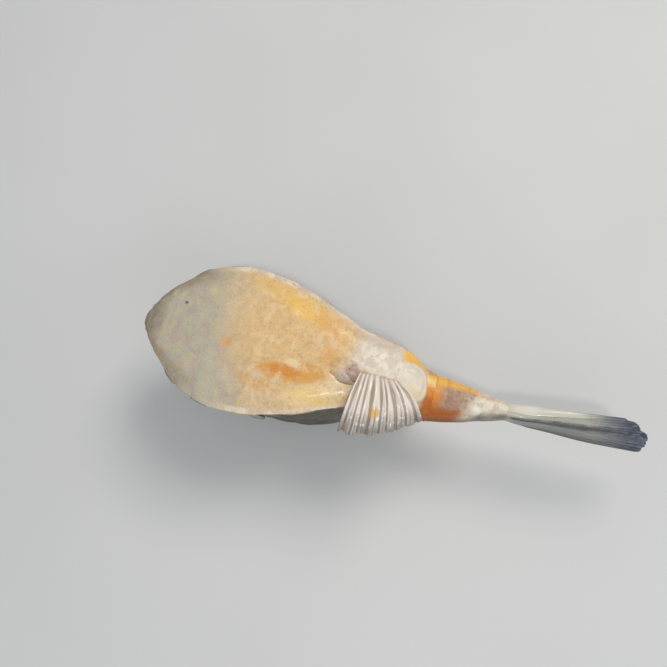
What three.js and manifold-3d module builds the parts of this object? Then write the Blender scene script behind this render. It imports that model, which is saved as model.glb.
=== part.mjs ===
// A large adult yellow boxfish, life size, lying on its back with its flat belly up.
// Millimetres, +Z up. The snout points to -X and the tail to +X, so the fish's right side faces -Y.
// The origin is on the floor, under the middle of the whole fish.
import * as THREE from "three";
import Module from "manifold-3d";
import { mergeVertices } from "three/addons/utils/BufferGeometryUtils.js";

const wasm = await Module();
wasm.setup();

// Driving sizes of the fish
const carapaceLength = 231;
const bellyHalfWidth = 57;
const bodyDepth = 108;
const stalkLength = 60;
const stalkDepth = 35;
const tailFinLength = 119;
const tailSwing = 14;
const tailTwist = 15;
const snoutTuck = 5;
const tuckEnd = 60;
const bellyBulge = 4.5;
const backFlat = 1.3;
const pieceGap = 0.3;

// The bony plates: how many go round the body, and how they stand up from their seams
const platesAround = 18;
const ridgePlate = 2.5;
const shoulderPlate = 6.5;
const backPlate = 9;
const seamDepth = 0.9;
const seamInset = 0.15;
const plateDome = 0.5;
const smallestRow = 7;

// Where the carapace is divided, measured from the snout
const headEnd = 66;
const middleEnd = 148;
const carapaceCut = 228;

// Colours of the finished animal
const colours = {
  carapaceHead: 0x8f8068,
  carapaceMiddle: 0xc8a878,
  carapaceRear: 0xddc9a8,
  tailStalk: 0xc07a30,
  tailFin: 0x8a8a86,
  bodyFin: 0xcfc3b2,
  eye: 0x9aa08a,
};

const { lerp, clamp, smoothstep, degToRad } = THREE.MathUtils;

// A smooth curve through a few [place, value] points that never overshoots them
function curveThrough(points) {
  const last = points.length - 1;
  const slopes = points.slice(1).map(([u, v], i) => (v - points[i][1]) / (u - points[i][0]));
  const tangents = points.map((_, i) => {
    if (i === 0 || i === last) return slopes[Math.min(i, last - 1)];
    const [before, after] = [slopes[i - 1], slopes[i]];
    return before * after <= 0 ? 0 : (2 * before * after) / (before + after);
  });
  return (u) => {
    const x = clamp(u, points[0][0], points[last][0]);
    const i = clamp(points.findIndex(([end]) => end >= x) - 1, 0, last - 1);
    const [[u0, v0], [u1, v1]] = [points[i], points[i + 1]];
    const span = u1 - u0;
    const t = (x - u0) / span;
    const rise = t * t * (3 - 2 * t);
    const leave = t * (1 - t) * (1 - t) * span * tangents[i];
    const arrive = t * t * (1 - t) * span * tangents[i + 1];
    return lerp(v0, v1, rise) + leave - arrive;
  };
}

// The carapace along its length, as shares of the driving sizes
const ridgeWidth = curveThrough([
  [0, 0.15], [0.04, 0.31], [0.08, 0.455], [0.12, 0.6], [0.18, 0.8], [0.25, 0.93], [0.34, 1],
  [0.45, 0.95], [0.55, 0.845], [0.65, 0.68], [0.75, 0.525], [0.85, 0.45], [1, 0.34],
]);
const shoulderWidth = curveThrough([
  [0, 0.08], [0.06, 0.17], [0.12, 0.29], [0.2, 0.44], [0.3, 0.59], [0.45, 0.71],
  [0.6, 0.67], [0.75, 0.5], [0.9, 0.36], [1, 0.29],
]);
const crestDepth = curveThrough([
  [0, 0.22], [0.05, 0.33], [0.1, 0.46], [0.16, 0.65], [0.22, 0.79], [0.3, 0.91],
  [0.4, 0.98], [0.49, 1], [0.6, 0.975], [0.7, 0.89], [0.8, 0.77], [0.9, 0.65], [1, 0.55],
]);
const ridgeDepth = curveThrough([
  [0, 0.12], [0.04, 0.05], [0.09, 0.012], [0.2, 0], [0.78, 0], [0.9, 0.03], [1, 0.1],
]);
const shoulderShare = 0.77;
const backSquareness = 2.5;

// The carapace's rear end rounds off towards the oval of the tail stalk
const rearOval = { from: 202, share: 0.8, halfWidth: 20.5, halfHeight: 23.5 };

// The snout is tucked in towards the front of the belly
const blunted = (s) => s + snoutTuck * (1 - Math.min(s / tuckEnd, 1)) ** 2;

// The cross-section at a distance s behind the snout
function sectionAt(s) {
  const u = s / carapaceLength;
  const crest = crestDepth(u) * bodyDepth;
  const ridge = ridgeDepth(u) * bodyDepth;
  return {
    ridgeHalf: ridgeWidth(u) * bellyHalfWidth,
    shoulderHalf: shoulderWidth(u) * bellyHalfWidth,
    ridge,
    crest,
    shoulder: lerp(ridge, crest, shoulderShare),
    crisp: smoothstep(u, 0.03, 0.16),
    bulge: bellyBulge * smoothstep(u, 0.02, 0.3),
    oval: rearOval.share * smoothstep(s, rearOval.from, carapaceLength),
  };
}

// How far out the flank is, at a share t of the way from the belly ridge to the shoulder
function flankHalf(section, t) {
  const pinch = 2.6 * Math.sqrt(t) * (1 - t) ** 1.5;
  return lerp(section.ridgeHalf, section.shoulderHalf, t) - 6.5 * section.crisp * pinch;
}

// Half-width and depth of the boxy section at a plate count from the middle of the belly
function boxPoint(section, plate) {
  const side = Math.abs(plate);
  if (side <= ridgePlate) {
    const t = side / ridgePlate;
    const rim = 1.6 * section.crisp * Math.exp(-(((t - 0.86) / 0.09) ** 2));
    return [section.ridgeHalf * t, section.ridge - section.bulge * (1 - t ** 2.4) + rim];
  }
  if (side <= shoulderPlate) {
    const t = (side - ridgePlate) / (shoulderPlate - ridgePlate);
    return [flankHalf(section, t), lerp(section.ridge, section.shoulder, t)];
  }
  const turn = ((side - shoulderPlate) / (backPlate - shoulderPlate)) * (Math.PI / 2);
  const power = 2 / backSquareness;
  const out = Math.max(Math.cos(turn), 0) ** power;
  const rise = Math.sin(turn) ** power;
  return [section.shoulderHalf * out, lerp(section.shoulder, section.crest, rise)];
}

// The same for the skin, which is rounder where the tail stalk leaves it
function sectionPoint(section, plate) {
  const [half, depth] = boxPoint(section, plate);
  const turn = (Math.abs(plate) / backPlate) * Math.PI;
  const ovalHalf = rearOval.halfWidth * Math.sin(turn);
  const ovalDepth = stalkDepth - rearOval.halfHeight * Math.cos(turn);
  return [lerp(half, ovalHalf, section.oval), lerp(depth, ovalDepth, section.oval)];
}

// A point on the skin, in the part's frame before it is centred
function skinPoint(s, plate) {
  const around = plate - platesAround * Math.round(plate / platesAround);
  const [half, depth] = sectionPoint(sectionAt(s), around);
  return new THREE.Vector3(blunted(s), Math.sign(around) * half, bodyDepth - backFlat - depth);
}

// The skin's outward direction
function skinNormal(s, plate) {
  const along = skinPoint(s + 1, plate).sub(skinPoint(s - 1, plate));
  const round = skinPoint(s, plate + 0.1).sub(skinPoint(s, plate - 0.1));
  return along.cross(round).normalize();
}

const raisedPoint = (s, plate, out) => skinPoint(s, plate).addScaledVector(skinNormal(s, plate), out);

// A closed solid from points and triangles, turned to face out
function solidOf(points, triangles) {
  const vertProperties = new Float32Array(points.flatMap((p) => [p.x, p.y, p.z]));
  const volume = triangles.reduce(
    (sum, [a, b, c]) => sum + points[a].dot(points[b].clone().cross(points[c])), 0);
  const facing = volume < 0 ? triangles.map(([a, b, c]) => [a, c, b]) : triangles;
  const triVerts = new Uint32Array(facing.flat());
  return new wasm.Manifold(new wasm.Mesh({ numProp: 3, vertProperties, triVerts }));
}

// A three.js shape as a solid, placed by a matrix
function solidShape(geometry, matrix = new THREE.Matrix4()) {
  const bare = geometry.clone().applyMatrix4(matrix);
  bare.deleteAttribute("normal");
  bare.deleteAttribute("uv");
  const merged = mergeVertices(bare, 1e-4);
  const triVerts = new Uint32Array(merged.index.array);
  return new wasm.Manifold(
    new wasm.Mesh({ numProp: 3, vertProperties: merged.attributes.position.array, triVerts }));
}

// An ellipsoid whose third half-size points along a direction
function ellipsoid(centre, halfSizes, direction = new THREE.Vector3(0, 0, 1), sides = 16) {
  const turn = new THREE.Quaternion().setFromUnitVectors(new THREE.Vector3(0, 0, 1), direction);
  const place = new THREE.Matrix4().compose(centre, turn, new THREE.Vector3(...halfSizes));
  return solidShape(new THREE.SphereGeometry(1, sides, Math.round(sides * 0.6)), place);
}

function slab(x0, x1) {
  const size = 600;
  const middle = new THREE.Matrix4().makeTranslation((x0 + x1) / 2, 0, bodyDepth / 2);
  return solidShape(new THREE.BoxGeometry(x1 - x0, size, size), middle);
}

const largest = (solid) => solid.decompose().sort((a, b) => b.volume() - a.volume())[0];

// Stations of the seams between rows of plates, each row as long as its plates are wide
function plateRows() {
  const girthAt = (s) => {
    const { ridgeHalf, shoulderHalf, ridge, shoulder, crest } = sectionAt(s);
    return 2 * (ridgeHalf + (shoulder - ridge) + shoulderHalf + (crest - shoulder) / 2);
  };
  const stations = [2];
  while (stations.at(-1) < carapaceLength) {
    const s = stations.at(-1);
    stations.push(s + Math.max(smallestRow, (0.9 * girthAt(s)) / platesAround));
  }
  const stretch = (carapaceLength + 4) / stations.at(-1);
  return stations.map((s) => s * stretch);
}

// The closed carapace, with six-sided plates raised between their seams
function platedCarapace() {
  const stations = plateRows();
  const rows = stations.length - 1;
  const points = [];
  const triangles = [];
  const add = (point) => points.push(point) - 1;
  const shift = (row) => 0.5 * (row % 2);
  const reach = (row) => {
    const before = stations[Math.max(row - 1, 0)];
    const after = stations[Math.min(row + 1, rows)];
    return (after - before) / (row === 0 || row === rows ? 6 : 12);
  };
  const seamAt = (row, upper) => stations[row] + (upper ? 1 : -1) * reach(row);
  const relief = (s) => smoothstep(s, 4, 22);
  const seams = stations.map((_, row) => [0, 1].map((upper) => {
    const s = seamAt(row, upper);
    return Array.from({ length: platesAround }, (_, j) =>
      add(raisedPoint(s, shift(row) + 0.5 * upper + j, -seamDepth * relief(s))));
  }));
  const pick = (row, upper, j) => seams[row][upper][(j + platesAround) % platesAround];
  for (let row = 0; row < rows; row++) {
    for (let j = 0; j < platesAround; j++) {
      const m = row % 2 ? j + 1 : j;
      const centre = shift(row) + j;
      const corners = [
        [pick(row, 0, j), seamAt(row, 0), 0],
        [pick(row, 1, j), seamAt(row, 1), 0.5],
        [pick(row + 1, 0, m), seamAt(row + 1, 0), 0.5],
        [pick(row + 1, 1, m - 1), seamAt(row + 1, 1), 0],
        [pick(row + 1, 0, m - 1), seamAt(row + 1, 0), -0.5],
        [pick(row, 1, j - 1), seamAt(row, 1), -0.5],
      ];
      const middle = (stations[row] + stations[row + 1]) / 2;
      const top = add(raisedPoint(middle, centre, plateDome * relief(middle)));
      const edge = corners.map(([, s, side]) =>
        add(skinPoint(lerp(s, middle, seamInset), centre + side * (1 - seamInset))));
      corners.forEach(([corner], k) => {
        const next = (k + 1) % corners.length;
        triangles.push([corner, corners[next][0], edge[next]]);
        triangles.push([corner, edge[next], edge[k]]);
        triangles.push([edge[k], edge[next], top]);
      });
    }
  }
  [0, rows].forEach((row) => {
    const s = stations[row];
    const cap = add(new THREE.Vector3(blunted(s), 0, skinPoint(s, shoulderPlate - 2).z));
    for (let j = 0; j < platesAround; j++) {
      const ring = [pick(row, 0, j), pick(row, 1, j), pick(row, 0, j + 1)];
      const pairs = [[ring[0], ring[1]], [ring[1], ring[2]]];
      pairs.forEach(([a, b]) => triangles.push(row === 0 ? [b, a, cap] : [a, b, cap]));
    }
  });
  return solidOf(points, triangles);
}

// A smooth body a little outside the skin, which trims what stands on it
function clearanceBody(gap) {
  const [around, along] = [60, 46];
  const points = [];
  const triangles = [];
  for (let i = 0; i <= along; i++)
    for (let j = 0; j < around; j++)
      points.push(raisedPoint(lerp(3, carapaceLength, i / along), (j * platesAround) / around, gap));
  for (let i = 0; i < along; i++)
    for (let j = 0; j < around; j++) {
      const [a, b] = [i * around + j, i * around + ((j + 1) % around)];
      triangles.push([a, b, b + around], [a, b + around, a + around]);
    }
  const ends = [0, along].map((i) => {
    const ring = points.slice(i * around, (i + 1) * around);
    const sum = ring.reduce((total, p) => total.add(p), new THREE.Vector3());
    return points.push(sum.divideScalar(around)) - 1;
  });
  for (let j = 0; j < around; j++) {
    const next = (j + 1) % around;
    triangles.push([ends[0], next, j], [ends[1], along * around + j, along * around + next]);
  }
  return solidOf(points, triangles);
}

// A fin: a thin sheet whose rays stand up as ridges on both faces.
// place(a, r) gives its middle surface, a across the rays and r out along them.
function rayFin({ rays, rows, place, rootSink, rootHalf, tipHalf, membraneShare, pleat, scallop }) {
  const columns = 2 * rays - 2;
  const points = [[], []];
  for (let j = 0; j <= columns; j++) {
    const isRay = j % 2 === 0;
    for (let i = 0; i <= rows; i++) {
      const a = j / columns;
      const r = lerp(rootSink, isRay ? 1 : 1 - scallop, i / rows);
      const across = place(a + 0.01, r).sub(place(a - 0.01, r));
      const outward = place(a, r + 0.01).sub(place(a, r - 0.01));
      const normal = across.cross(outward).normalize();
      const grown = clamp(r, 0, 1);
      const half = lerp(rootHalf, tipHalf, grown ** 0.6) * (isRay ? 1 : membraneShare);
      const fold = pleat * Math.sin(Math.PI * Math.min(grown, 0.7)) * (j % 4 < 2 ? 1 : -1);
      const middle = place(a, r).addScaledVector(normal, isRay ? 0 : fold);
      points[0].push(middle.clone().addScaledVector(normal, half));
      points[1].push(middle.clone().addScaledVector(normal, -half));
    }
  }
  const faceSize = points[0].length;
  const at = (face, j, i) => face * faceSize + j * (rows + 1) + i;
  const triangles = [];
  for (let j = 0; j < columns; j++)
    for (let i = 0; i < rows; i++) {
      const [a, b, c, d] = [[j, i], [j + 1, i], [j + 1, i + 1], [j, i + 1]];
      const halves = j % 2 ? [[a, b, c], [a, c, d]] : [[a, b, d], [b, c, d]];
      halves.forEach(([p, q, t]) => {
        triangles.push([at(0, ...p), at(0, ...q), at(0, ...t)]);
        triangles.push([at(1, ...p), at(1, ...t), at(1, ...q)]);
      });
    }
  const rim = [];
  for (let j = 0; j < columns; j++) rim.push([j, 0]);
  for (let i = 0; i < rows; i++) rim.push([columns, i]);
  for (let j = columns; j > 0; j--) rim.push([j, rows]);
  for (let i = rows; i > 0; i--) rim.push([0, i]);
  rim.forEach((p, k) => {
    const q = rim[(k + 1) % rim.length];
    triangles.push([at(0, ...q), at(0, ...p), at(1, ...p)], [at(0, ...q), at(1, ...p), at(1, ...q)]);
  });
  return solidOf(points.flat(), triangles);
}

// Head features, each set on the skin by its place behind the snout and its plate count
const eyeSeat = { s: 46, plate: 6.05, radius: 11.5, sunk: 7.6, rimRadius: 10.2, rimTube: 1.8 };
const gillSeat = { s: 60, plate: 3.6, halfLength: 11, halfWidth: 0.9, depth: 3 };
const nostrilSeat = { s: 29, plate: 5.6, radius: 1.3 };
const lipSizes = { upper: [5.6, 8, 3.9], lower: [4.9, 7.2, 3.5], slit: [6, 6.6, 0.7] };

function eyeParts(side) {
  const out = skinNormal(eyeSeat.s, side * eyeSeat.plate);
  const seat = skinPoint(eyeSeat.s, side * eyeSeat.plate);
  const centre = seat.clone().addScaledVector(out, -eyeSeat.sunk);
  const turn = new THREE.Quaternion().setFromUnitVectors(new THREE.Vector3(0, 0, 1), out);
  const rimPlace = new THREE.Matrix4().compose(
    seat.clone().addScaledVector(out, -0.9), turn, new THREE.Vector3(1, 1, 1));
  const rim = solidShape(new THREE.TorusGeometry(eyeSeat.rimRadius, eyeSeat.rimTube, 6, 20), rimPlace);
  const round = [eyeSeat.radius, eyeSeat.radius, eyeSeat.radius];
  const ball = ellipsoid(centre, round, out, 18);
  const socket = ellipsoid(centre, round.map((size) => size + pieceGap), out, 18);
  return { ball, rim, socket };
}

function headFeatures(head, eyes) {
  const mouthHeight = (skinPoint(2, 0).z + skinPoint(2, backPlate).z) / 2;
  const upper = ellipsoid(new THREE.Vector3(blunted(4.2), 0, mouthHeight - 3.4), lipSizes.upper);
  const lower = ellipsoid(new THREE.Vector3(blunted(5), 0, mouthHeight + 3.4), lipSizes.lower);
  const slit = ellipsoid(new THREE.Vector3(blunted(-1.5), 0, mouthHeight + 0.3), lipSizes.slit);
  let made = head.add(upper).add(lower);
  eyes.forEach(({ rim }) => { made = made.add(rim); });
  made = made.subtract(slit);
  [-1, 1].forEach((side) => {
    const nostril = skinPoint(nostrilSeat.s, side * nostrilSeat.plate);
    const around = skinNormal(nostrilSeat.s, side * nostrilSeat.plate);
    const { radius } = nostrilSeat;
    made = made.add(ellipsoid(nostril, [radius * 2, radius * 2, 1.4], around, 12));
    made = made.subtract(ellipsoid(nostril.addScaledVector(around, 1.2), [radius, radius, 2.2], around, 8));
    const gill = skinPoint(gillSeat.s, side * gillSeat.plate);
    const gillOut = skinNormal(gillSeat.s, side * gillSeat.plate);
    const slot = [gillSeat.halfWidth, gillSeat.depth, gillSeat.halfLength];
    const lean = new THREE.Vector3(0.22, -side * 0.12, 1).normalize();
    made = made.subtract(ellipsoid(gill.addScaledVector(gillOut, 0.4), slot, lean, 12));
  });
  eyes.forEach(({ socket }) => { made = made.subtract(socket); });
  return made;
}

// The vent: a low soft mound on the belly, with a pit
const ventSeat = { s: 164, side: -4.2, mound: [10.5, 8.7, 3], pit: [1.6, 3, 3] };

function rearFeatures(rear) {
  const top = skinPoint(ventSeat.s, 0).setY(ventSeat.side);
  const mound = ellipsoid(top.clone(), ventSeat.mound);
  const pit = ellipsoid(top.clone().add(new THREE.Vector3(2, 0, ventSeat.mound[2] + 0.6)), ventSeat.pit);
  return rear.add(mound).subtract(pit);
}

// Behind the carapace the tail swings a little towards +Y and twists its upper edge that way
const finBase = carapaceCut + stalkLength;
const tailEnd = finBase + tailFinLength;
const swingAt = (x) => (tailSwing * Math.max(x - carapaceCut, 0)) / (tailEnd - carapaceCut);
const tailHeight = bodyDepth - backFlat - stalkDepth;

function tailPoint(x, across, up) {
  const twist = degToRad(tailTwist) * smoothstep(x, carapaceCut, tailEnd);
  const y = swingAt(x) + across * Math.cos(twist) + up * Math.sin(twist);
  return new THREE.Vector3(x, y, tailHeight + up * Math.cos(twist) - across * Math.sin(twist));
}

// The tail stalk: oval sections that taper from the carapace to the tail fin
const stalkHalfWidth = curveThrough([[0, 18.5], [0.3, 16.5], [0.6, 12.6], [0.85, 8.6], [1, 6.6]]);
const stalkHalfHeight = curveThrough([[0, 21], [0.35, 18.5], [0.7, 14.5], [1, 12.2]]);

function tailStalk() {
  const [around, along] = [24, 12];
  const start = carapaceCut + pieceGap;
  const points = [];
  const triangles = [];
  for (let i = 0; i <= along; i++) {
    const u = i / along;
    const x = lerp(start, finBase, u);
    for (let j = 0; j < around; j++) {
      const turn = (j / around) * 2 * Math.PI;
      points.push(tailPoint(x, stalkHalfWidth(u) * Math.sin(turn), stalkHalfHeight(u) * Math.cos(turn)));
    }
  }
  for (let i = 0; i < along; i++)
    for (let j = 0; j < around; j++) {
      const [a, b] = [i * around + j, i * around + ((j + 1) % around)];
      triangles.push([a, b, b + around], [a, b + around, a + around]);
    }
  [start, finBase].forEach((x, end) => {
    const cap = points.push(new THREE.Vector3(x, swingAt(x), tailHeight)) - 1;
    for (let j = 0; j < around; j++) {
      const [a, b] = [j, (j + 1) % around].map((k) => k + end * along * around);
      triangles.push(end ? [a, b, cap] : [b, a, cap]);
    }
  });
  return solidOf(points, triangles);
}

// The tail fin is half closed and follows the tail's twist, with its upper rays drawn in
const tailFinSizes = { rootHeight: 22.5, endHeight: 54, drawnIn: 0.3, start: finBase + pieceGap };

function tailFin() {
  const { rootHeight, endHeight, drawnIn, start } = tailFinSizes;
  const place = (a, r) => {
    const rounding = 1 - drawnIn * Math.max(1 - a, 0) ** 2.4 - 0.05 * Math.max(a, 0) ** 4;
    const x = start + (tailFinLength - pieceGap) * r * rounding;
    const height = lerp(rootHeight, endHeight, Math.max(r, 0) ** 0.75);
    return tailPoint(x, 0, (0.5 - a) * height);
  };
  const whole = rayFin({
    rays: 10, rows: 9, place, rootSink: 0, rootHalf: 5.4, tipHalf: 0.45,
    membraneShare: 0.6, pleat: 1.1, scallop: 0.03,
  });
  return whole.subtract(slab(start - 20, start));
}

// Fins that stand on the carapace: each ray is a curve from its root to its tip
function analFin() {
  const root = { from: 175, to: 201, side: -3.5 };
  const tip = { from: 169, to: 226, reach: 45, rearReach: 21 };
  const place = (a, r) => {
    const lie = Math.max(r, 0);
    const rootX = lerp(root.from, root.to, a);
    const x = lerp(rootX, lerp(tip.from, tip.to, a), lie * (1.6 - 0.6 * lie));
    const reach = lerp(tip.reach, tip.rearReach, Math.max(a, 0) ** 2.4);
    const rise = 9 * Math.sin(Math.PI * Math.min(lie * 0.85, 1)) ** 0.8 - 9 * lie ** 2.2;
    const y = root.side - reach * Math.max(lie - 0.06, 0) / 0.94;
    return new THREE.Vector3(x, y, skinPoint(rootX, 0).z + rise + Math.min(r, 0) * 30);
  };
  return rayFin({
    rays: 10, rows: 10, place, rootSink: -0.12, rootHalf: 1.7, tipHalf: 0.35,
    membraneShare: 0.5, pleat: 0.7, scallop: 0.04,
  });
}

function dorsalFin() {
  const root = { from: 184, to: 207 };
  const length = { front: 40, rear: 24 };
  const lean = { front: 0.5, rear: 0.05 };
  const place = (a, r) => {
    const rootX = lerp(root.from, root.to, a);
    const fall = skinPoint(rootX, backPlate).z;
    const angle = lerp(lean.front, lean.rear, a);
    const out = lerp(length.front, length.rear, a) * r;
    const side = 5 * Math.max(r, 0) ** 1.5;
    return new THREE.Vector3(rootX + out * Math.cos(angle), side, fall - out * Math.sin(angle) - 1.2 * r);
  };
  return rayFin({
    rays: 9, rows: 7, place, rootSink: -0.2, rootHalf: 1.6, tipHalf: 0.35,
    membraneShare: 0.5, pleat: 0.5, scallop: 0.04,
  });
}

// The pectoral fin fans up the flank from a short fleshy root, a few millimetres off the skin
function pectoralFin(side) {
  const root = { front: [70, 33], rear: [84, 22] };
  const ray = { front: [25, 50], rear: [28, 20] };
  const flankOut = (s, depth) => {
    const section = sectionAt(s);
    const t = (depth - section.ridge) / (section.shoulder - section.ridge);
    return flankHalf(section, clamp(t, 0, 1));
  };
  const place = (a, r) => {
    const bow = 1 + 0.16 * Math.sin(Math.PI * a);
    const s = lerp(root.front[0], root.rear[0], a) + lerp(ray.front[0], ray.rear[0], a) * r * bow;
    const depth = lerp(root.front[1], root.rear[1], a) + lerp(ray.front[1], ray.rear[1], a) * r * bow;
    const off = -1.5 + 4.7 * smoothstep(r, -0.1, 0.4) + 0.4 * r;
    const out = flankOut(s, depth) + off;
    return new THREE.Vector3(s, side * out, bodyDepth - backFlat - depth);
  };
  return rayFin({
    rays: 11, rows: 9, place, rootSink: -0.1, rootHalf: 2, tipHalf: 0.35,
    membraneShare: 0.5, pleat: 0.5, scallop: 0.04,
  });
}

// Dividing the carapace, and trimming it flat where it rests
const floorCut = solidShape(
  new THREE.BoxGeometry(600, 600, 50), new THREE.Matrix4().makeTranslation(100, 0, -25));
const carapace = platedCarapace().subtract(floorCut);
const eyes = [-1, 1].map(eyeParts);
const smoothTrim = clearanceBody(pieceGap + plateDome);
const ways = [[1, 0, 0], [-1, 0, 0], [0, 1, 0], [0, -1, 0], [0, 0, 1], [0, 0, -1]];
const trimmed = (fin, body) => ways.reduce(
  (left, way) => left.subtract(body.translate(way.map((step) => step * (pieceGap + 0.05)))),
  fin.subtract(smoothTrim));
const rear = rearFeatures(carapace.intersect(slab(middleEnd + pieceGap, carapaceCut)));

const solids = {
  head: headFeatures(carapace.intersect(slab(-20, headEnd)), eyes).intersect(slab(-20, headEnd)),
  carapace_middle: carapace.intersect(slab(headEnd + pieceGap, middleEnd)),
  carapace_rear: rear,
  tail_stalk: tailStalk(),
  tail_fin: tailFin(),
  anal_fin: trimmed(analFin(), rear),
  dorsal_fin: trimmed(dorsalFin(), rear),
  pectoral_fin_right: trimmed(pectoralFin(-1), carapace),
  pectoral_fin_left: trimmed(pectoralFin(1), carapace),
  eye_right: eyes[0].ball,
  eye_left: eyes[1].ball,
};

const finishes = {
  head: [colours.carapaceHead, 0.55],
  carapace_middle: [colours.carapaceMiddle, 0.5],
  carapace_rear: [colours.carapaceRear, 0.5],
  tail_stalk: [colours.tailStalk, 0.45],
  tail_fin: [colours.tailFin, 0.5],
  anal_fin: [colours.bodyFin, 0.4],
  dorsal_fin: [colours.bodyFin, 0.5],
  pectoral_fin_right: [colours.bodyFin, 0.45],
  pectoral_fin_left: [colours.bodyFin, 0.45],
  eye_right: [colours.eye, 0.12],
  eye_left: [colours.eye, 0.12],
};

const fish = new THREE.Group();
for (const [name, solid] of Object.entries(solids)) {
  const { vertProperties, triVerts } = largest(solid).getMesh();
  const geometry = new THREE.BufferGeometry();
  geometry.setAttribute("position", new THREE.BufferAttribute(vertProperties, 3));
  geometry.setIndex(new THREE.BufferAttribute(triVerts, 1));
  geometry.computeVertexNormals();
  const [color, roughness] = finishes[name];
  const mesh = new THREE.Mesh(geometry, new THREE.MeshStandardMaterial({ color, roughness, metalness: 0 }));
  mesh.name = name;
  fish.add(mesh);
}

// Centring the fish over the origin, on the floor
const bounds = new THREE.Box3().setFromObject(fish);
const middle = bounds.getCenter(new THREE.Vector3());
fish.position.set(-middle.x, -middle.y, -bounds.min.z);

const whole = new THREE.Group();
whole.add(fish);

export default whole;
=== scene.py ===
# A large adult yellow boxfish lying on its back, life size.
# Sizes are in millimetres unless a name says otherwise.
import math

import bmesh
import bpy
from mathutils import Matrix, Vector, noise


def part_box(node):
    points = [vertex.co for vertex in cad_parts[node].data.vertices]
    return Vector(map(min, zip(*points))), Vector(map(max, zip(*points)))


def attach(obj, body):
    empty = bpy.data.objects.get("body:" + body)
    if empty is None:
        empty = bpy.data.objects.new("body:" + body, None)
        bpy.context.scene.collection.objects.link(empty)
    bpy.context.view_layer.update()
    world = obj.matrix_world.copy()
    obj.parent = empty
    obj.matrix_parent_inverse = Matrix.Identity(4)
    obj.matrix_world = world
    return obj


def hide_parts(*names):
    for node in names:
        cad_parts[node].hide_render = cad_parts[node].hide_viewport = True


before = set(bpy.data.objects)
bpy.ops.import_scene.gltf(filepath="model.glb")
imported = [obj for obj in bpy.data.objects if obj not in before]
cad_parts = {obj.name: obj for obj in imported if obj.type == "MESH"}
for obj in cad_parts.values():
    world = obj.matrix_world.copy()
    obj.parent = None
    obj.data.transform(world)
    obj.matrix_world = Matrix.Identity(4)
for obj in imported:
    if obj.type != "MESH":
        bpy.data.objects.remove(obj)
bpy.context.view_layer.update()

mm = 0.001

# The same driving sizes as the solids
fish = {
    "carapaceLength": 231,
    "bellyHalfWidth": 57,
    "bodyDepth": 108,
    "stalkLength": 60,
    "tailFinLength": 119,
    "tailSwing": 14,
    "tailTwist": 15,
    "snoutTuck": 5,
    "tuckEnd": 60,
    "bellyBulge": 4.5,
    "backFlat": 1.3,
    "carapaceCut": 228,
    "stalkDepth": 35,
}
# plates counted from the middle of the belly round to the ridge, the shoulder and the middle of the back
plates = {
    "around": 18,
    "ridge": 2.5,
    "shoulder": 6.5,
    "back": 9,
    "smallestRow": 7,
    "rowGap": math.sqrt(3) / 2,
    "flankPinch": 6.5,
    "rimRise": 1.0,
}

# Where the snout lies along the fish's length, from the frame
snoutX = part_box("carapace_rear")[1].x / mm - fish["carapaceCut"]
finBase = fish["carapaceCut"] + fish["stalkLength"]
tailEnd = finBase + fish["tailFinLength"]
tailDepth = fish["stalkDepth"]


def lerp(a, b, t):
    return a + (b - a) * t


def clamp(value, low=0.0, high=1.0):
    return min(max(value, low), high)


def smooth(value, low, high):
    t = clamp((value - low) / (high - low))
    return t * t * (3 - 2 * t)


def bump(value, centre, width):
    return math.exp(-(((value - centre) / width) ** 2))


def curveThrough(points):
    # a smooth curve through a few (place, value) points that never overshoots them
    last = len(points) - 1
    slopes = [(points[i + 1][1] - points[i][1]) / (points[i + 1][0] - points[i][0]) for i in range(last)]
    tangents = [slopes[0]]
    for before, after in zip(slopes, slopes[1:]):
        tangents.append(0 if before * after <= 0 else 2 * before * after / (before + after))
    tangents.append(slopes[-1])

    def valueAt(u):
        x = clamp(u, points[0][0], points[last][0])
        i = 0
        while i < last - 1 and points[i + 1][0] < x:
            i += 1
        (u0, v0), (u1, v1) = points[i], points[i + 1]
        span = u1 - u0
        t = (x - u0) / span
        leave = t * (1 - t) ** 2 * span * tangents[i]
        arrive = t * t * (1 - t) * span * tangents[i + 1]
        return lerp(v0, v1, t * t * (3 - 2 * t)) + leave - arrive

    return valueAt


# The body's shape along its length, as shares of the driving sizes
ridgeWidth = curveThrough([
    (0, 0.15), (0.04, 0.31), (0.08, 0.455), (0.12, 0.6), (0.18, 0.8), (0.25, 0.93), (0.34, 1),
    (0.45, 0.95), (0.55, 0.845), (0.65, 0.68), (0.75, 0.525), (0.85, 0.45), (1, 0.34),
])
shoulderWidth = curveThrough([
    (0, 0.08), (0.06, 0.17), (0.12, 0.29), (0.2, 0.44), (0.3, 0.59), (0.45, 0.71),
    (0.6, 0.67), (0.75, 0.5), (0.9, 0.36), (1, 0.29),
])
crestDepth = curveThrough([
    (0, 0.22), (0.05, 0.33), (0.1, 0.46), (0.16, 0.65), (0.22, 0.79), (0.3, 0.91),
    (0.4, 0.98), (0.49, 1), (0.6, 0.975), (0.7, 0.89), (0.8, 0.77), (0.9, 0.65), (1, 0.55),
])
ridgeDepth = curveThrough([
    (0, 0.12), (0.04, 0.05), (0.09, 0.012), (0.2, 0), (0.78, 0), (0.9, 0.03), (1, 0.1),
])
stalkHalfWidth = curveThrough([(0, 18.5), (0.3, 16.5), (0.6, 12.6), (0.85, 8.6), (1, 6.6)])
stalkHalfHeight = curveThrough([(0, 21), (0.35, 18.5), (0.7, 14.5), (1, 12.2)])
shoulderShare = 0.77
backSquareness = 2.5
rearOval = {"from": 202, "share": 0.8, "halfWidth": 20.5, "halfHeight": 23.5}


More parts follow.
